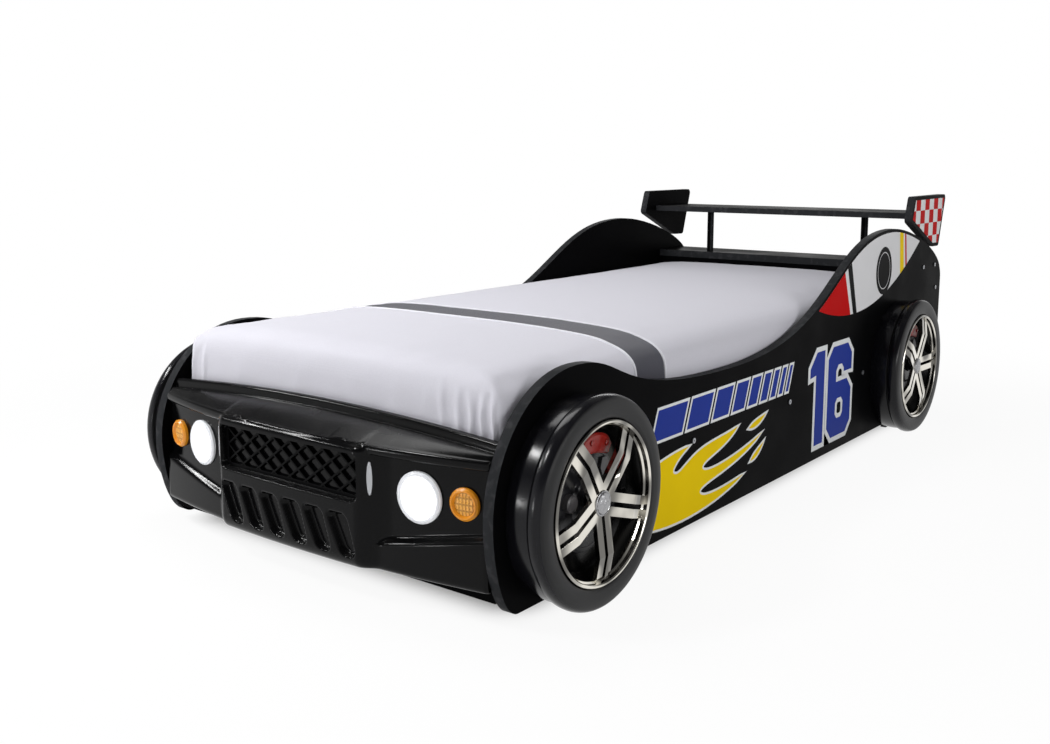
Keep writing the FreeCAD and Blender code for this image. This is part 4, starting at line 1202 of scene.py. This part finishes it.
# %% Mattress form
COVER_LOW, COVER_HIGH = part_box("mattress_cover")
COVER_SIDE = 0.3703                    # the sides are upright up to here
COVER_ROUND = 0.046                    # height of the rounding above them
COVER_SHOULDER = {-1: 0.022, 1: 0.085}     # and its width, on the bed's right and left
COVER_FRONT_ROUND = 0.034
COVER_FOOT_ROUND = 0.012
COVER_CORNER = 0.012
COVER_CROWN = 0.020
CROWN_POWER = {-1: 5, 1: 2.6}
COVER_CELLS = (56, 124, 10)


def cover_point(u, v, w):
    """A point of the cover. u and v go from -1 to 1 across and along, w from 0 to 1 upwards."""
    half_x = COVER_HIGH.x - 1.6 * MM
    half_y = (COVER_HIGH.y - COVER_LOW.y) / 2 - 1.0 * MM
    edge = COVER_SIDE + COVER_ROUND
    hand = 1 if u > 0 else -1
    p = Vector((u * half_x, v * half_y, COVER_LOW.z + w * (edge - COVER_LOW.z)))
    # upright corners, round in plan
    r = COVER_CORNER
    inner = Vector((max(-half_x + r, min(half_x - r, p.x)), max(-half_y + r, min(half_y - r, p.y)), p.z))
    if (p - inner).length > r:
        p = inner + (p - inner).normalized() * r
    # top and bottom edges. The top rolls over in long flat curves
    foot = COVER_FOOT_ROUND
    for r, wide, long, level, up in ((COVER_ROUND, COVER_SHOULDER[hand], COVER_FRONT_ROUND, COVER_SIDE, 1),
                                     (foot, foot, foot, COVER_LOW.z + foot, -1)):
        rise = max((p.z - level) * up, 0)
        over_x = max(abs(p.x) - half_x + wide, 0) * r / wide
        over_y = max(abs(p.y) - half_y + long, 0) * r / long
        length = math.hypot(max(over_x, over_y), rise)
        if rise > 0 and length > r:
            share = r / length
            p.z = level + up * rise * share
            p.x -= math.copysign(over_x * (1 - share) * wide / r, p.x)
            p.y -= math.copysign(over_y * (1 - share) * long / r, p.y)
    front = smooth(0.075, 0.0, p.y + half_y) if p.y < 0 else 0
    back = smooth(0.075, 0.0, half_y - p.y) if p.y > 0 else 0
    p.x *= 1 - (front + back) * 0.008 / half_x
    crown = COVER_CROWN * (1 - abs(p.x / half_x) ** CROWN_POWER[hand]) * (1 - 0.2 * abs(v) ** 8)
    p.z += smooth(0.3, 1.0, w) * (crown - 0.004 * front - 0.006 * back)
    p.y += (COVER_HIGH.y + COVER_LOW.y) / 2
    return p


def box_lattice(cells, place):
    """Even cells on the six sides of a box, with shared points along its edges."""
    index, points, faces = {}, [], []

    def point(*key):
        if key not in index:
            index[key] = len(points)
            points.append(place(2 * key[0] / cells[0] - 1, 2 * key[1] / cells[1] - 1, key[2] / cells[2]))
        return index[key]

    for fixed, first, second in ((2, 0, 1), (1, 0, 2), (0, 1, 2)):
        for a in range(cells[first]):
            for b in range(cells[second]):
                for end in (0, cells[fixed]):
                    face = []
                    for here in ((a, b), (a + 1, b), (a + 1, b + 1), (a, b + 1)):
                        key = [end] * 3
                        key[first], key[second] = here
                        face.append(point(*key))
                    faces.append(face)
    return points, faces


# %% Cloth simulation
CLOTH = {"quality": 6, "mass": 0.25, "tension_stiffness": 12, "compression_stiffness": 4, "shear_stiffness": 4,
         "bending_stiffness": 0.4, "air_damping": 4, "use_pressure": True, "uniform_pressure_force": 2.6,
         "shrink_min": -0.02, "vertex_group_mass": "held"}
CLOTH_FRAMES = 24
OUTWARD_LIMIT, INWARD_LIMIT = 6.0 * MM, 1.5 * MM


def let_cloth_settle(piece, pinned):
    """Runs the Cloth modifier, then keeps its result within a limit of the start."""
    start = [v.co.copy() for v in piece.data.vertices]
    outward = [v.normal.copy() for v in piece.data.vertices]
    pins = piece.vertex_groups.new(name="held")
    pins.add(pinned, 1.0, "REPLACE")
    modifier = piece.modifiers.new("cloth", "CLOTH")
    for name, value in CLOTH.items():
        setattr(modifier.settings, name, value)
    modifier.settings.effector_weights.gravity = 0
    modifier.collision_settings.use_collision = False
    modifier.point_cache.frame_end = CLOTH_FRAMES
    scene = bpy.context.scene
    for number in range(1, CLOTH_FRAMES + 1):
        scene.frame_set(number)
    moved = piece.evaluated_get(bpy.context.evaluated_depsgraph_get()).data
    result = [v.co.copy() for v in moved.vertices]
    scene.frame_set(1)
    piece.modifiers.remove(modifier)
    piece.vertex_groups.remove(pins)
    for vertex, a, b, way in zip(piece.data.vertices, start, result, outward):
        step = b - a
        step -= way * min(step.dot(way) + INWARD_LIMIT, 0)
        if step.length > 0:
            step *= OUTWARD_LIMIT * math.tanh(step.length / OUTWARD_LIMIT) / step.length
        vertex.co = a + step
    print("cloth moved up to", round(max((b - a).length for a, b in zip(start, result)), 3), "m before the limit")


def hold_between_boards(piece):
    """Keeps the cloth off the side panels, the front board and the headboard."""
    widest = COVER_HIGH.x + 0.4 * MM
    for vertex in piece.data.vertices:
        vertex.co.x = max(-widest, min(widest, vertex.co.x))
        forward = 0.0015 + 0.007 * smooth(0.338, 0.352, vertex.co.z)     # over the front board it may lean out
        vertex.co.y = max(COVER_LOW.y - forward, min(COVER_HIGH.y + 0.0015, vertex.co.y))
        vertex.co.z = max(vertex.co.z, COVER_LOW.z)


cover_start, faces = box_lattice(COVER_CELLS, cover_point)
cover = mesh_piece("mattress_cloth", cover_start, faces, cover_cotton, body="mattress", slot="mattress_fabric",
                   sharp=180)
let_cloth_settle(cover, [i for i, p in enumerate(cover_start) if p.z < COVER_LOW.z + 0.03])
hold_between_boards(cover)
print("cover points:", len(cover.data.vertices))

# %% [markdown]
# ## Band, pipings and pleats
# A dark band with a white piping on each side is sewn across the cover. The band is a strip of the
# cover's own cells with another cloth. Each piping is a thin round cord that follows the row of
# points on the band's edge, wherever the simulation has moved them. At the front the spare cloth
# is tucked in, which gives upright pleats near the corners and soft slanting waves above them.
# Both are finer than the simulation's cells, so the mesh is divided first.

# %% Band and pipings
BAND = (414.3, 529.5)


def lattice_row(mesh, start, y):
    """Points of the lattice row nearest to y, in order from one side over the top to the other."""
    nearest = min({round(p.y, 4) for p in start}, key=lambda v: abs(v - y))
    row = [i for i, p in enumerate(start) if abs(p.y - nearest) < 0.0006 and p.z > COVER_LOW.z + 0.02]
    row.sort(key=lambda i: math.atan2(start[i].x, start[i].z - 0.25))
    return [mesh.vertices[i].co.copy() for i in row], nearest


def add_piping(name, path):
    curve = bpy.data.curves.new(name, "CURVE")
    curve.dimensions = "3D"
    curve.bevel_depth = 3.2 * MM
    curve.bevel_resolution = 3
    spline = curve.splines.new("NURBS")
    spline.points.add(len(path) - 1)
    for point, place in zip(spline.points, path):
        # beside the panels a piping is half sunk into the cover
        room = HALF_SPACE - (3.8 * MM if place.z < 0.375 else 2.0 * MM)
        point.co = (max(-room, min(room, place.x)), place.y, place.z, 1)
    spline.order_u = 4
    spline.use_endpoint_u = True
    spline.resolution_u = 3
    mesh_piece(name, *from_curve(curve), piping_cotton, body="mattress", slot="mattress_fabric", sharp=180)


edges = []
for number, place in enumerate(BAND):
    path, y = lattice_row(cover.data, cover_start, place * MM + space_front)
    edges.append(y)
    add_piping(f"band_piping_{number}", path)
cover.data.materials.append(band_cotton)
for face in cover.data.polygons:
    middle = sum(cover_start[i].y for i in face.vertices) / len(face.vertices)
    face.material_index = int(edges[0] < middle < edges[1])
print("band from", round(edges[0], 3), "to", round(edges[1], 3), "m")

# %% Pleats at the front
PLEATS = ((433, -10.8), (422.5, 5.4), (411, -6.75), (399, 5.67), (387, -5.67), (374, 4.86), (360, -4.59),
          (345, 4.32), (328, -2.43), (309, 3.51), (268, 2.7), (200, 2.43), (80, 1.62), (-100, 1.755),
          (-270, 1.89), (-385, 3.24), (-402, -4.59), (-418, 3.51), (-432, -6.75))     # place and depth
BROAD_PLEAT = 2.7
FRONT_BOARD_TOP = 0.322
PLEAT_HEIGHT = 0.088


def divide(piece):
    """Applies one level of subdivision to the mesh itself."""
    step = piece.modifiers.new("divide", "SUBSURF")
    step.levels = step.render_levels = 1
    finer = bpy.data.meshes.new_from_object(piece.evaluated_get(bpy.context.evaluated_depsgraph_get()))
    piece.modifiers.clear()
    piece.data = finer


def pleat(x, height):
    """Depth of the tucked folds at a place across the front. They fan out and fade upwards."""
    total = 0
    x += 0.0055 * noise.noise(Vector((x * 25, height * 1.7, 5.0)))
    for place, depth in PLEATS:
        middle = place * MM
        lean = math.copysign((0.45 - abs(middle)) * 0.3 * height, middle)
        width = 0.0052 + 0.006 * height + 0.014 * (0 < depth <= BROAD_PLEAT)
        total += depth * MM * math.exp(-((x - middle + lean * 0.4) / width) ** 2)
    tall = 0.85 + 0.5 * noise.noise(Vector((x * 38, 0, 2.0)))
    return total * (1 - smooth(0.3 * tall, 1.2 * tall, height))


def slack(p):
    """Soft slanting waves in the spare cloth, strongest near the front."""
    wave = noise.noise(Vector((p.x * 7 + p.y * 5, p.y * 4 - p.x * 2, 3.0)))
    fine = noise.noise(Vector((p.x * 19 - p.y * 6, p.y * 7, 8.0)))
    return 0.0026 * wave + 0.0011 * fine


divide(cover)
divide(cover)
for vertex in cover.data.vertices:
    p = vertex.co
    behind = p.y - COVER_LOW.y
    near = 1 - smooth(0.0, 0.045, behind)
    height = (p.z - FRONT_BOARD_TOP) / PLEAT_HEIGHT
    if near > 0 and p.z > 0.25:
        shift = pleat(p.x, max(height, 0)) * near
        p.y += min(0.0035 * near - shift, 0.0050)     # not as deep as the foam behind
        p.z += shift * 0.3 * smooth(0.6, 1.1, height)
    if p.z > COVER_SIDE:
        p.z += slack(p) * smooth(0.0, 0.02, p.z - COVER_SIDE) * (1 - 0.75 * smooth(0.15, 0.8, behind))
hold_between_boards(cover)
cover.data.shade_smooth()
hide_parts("mattress_cover")
print("cover points after dividing:", len(cover.data.vertices))
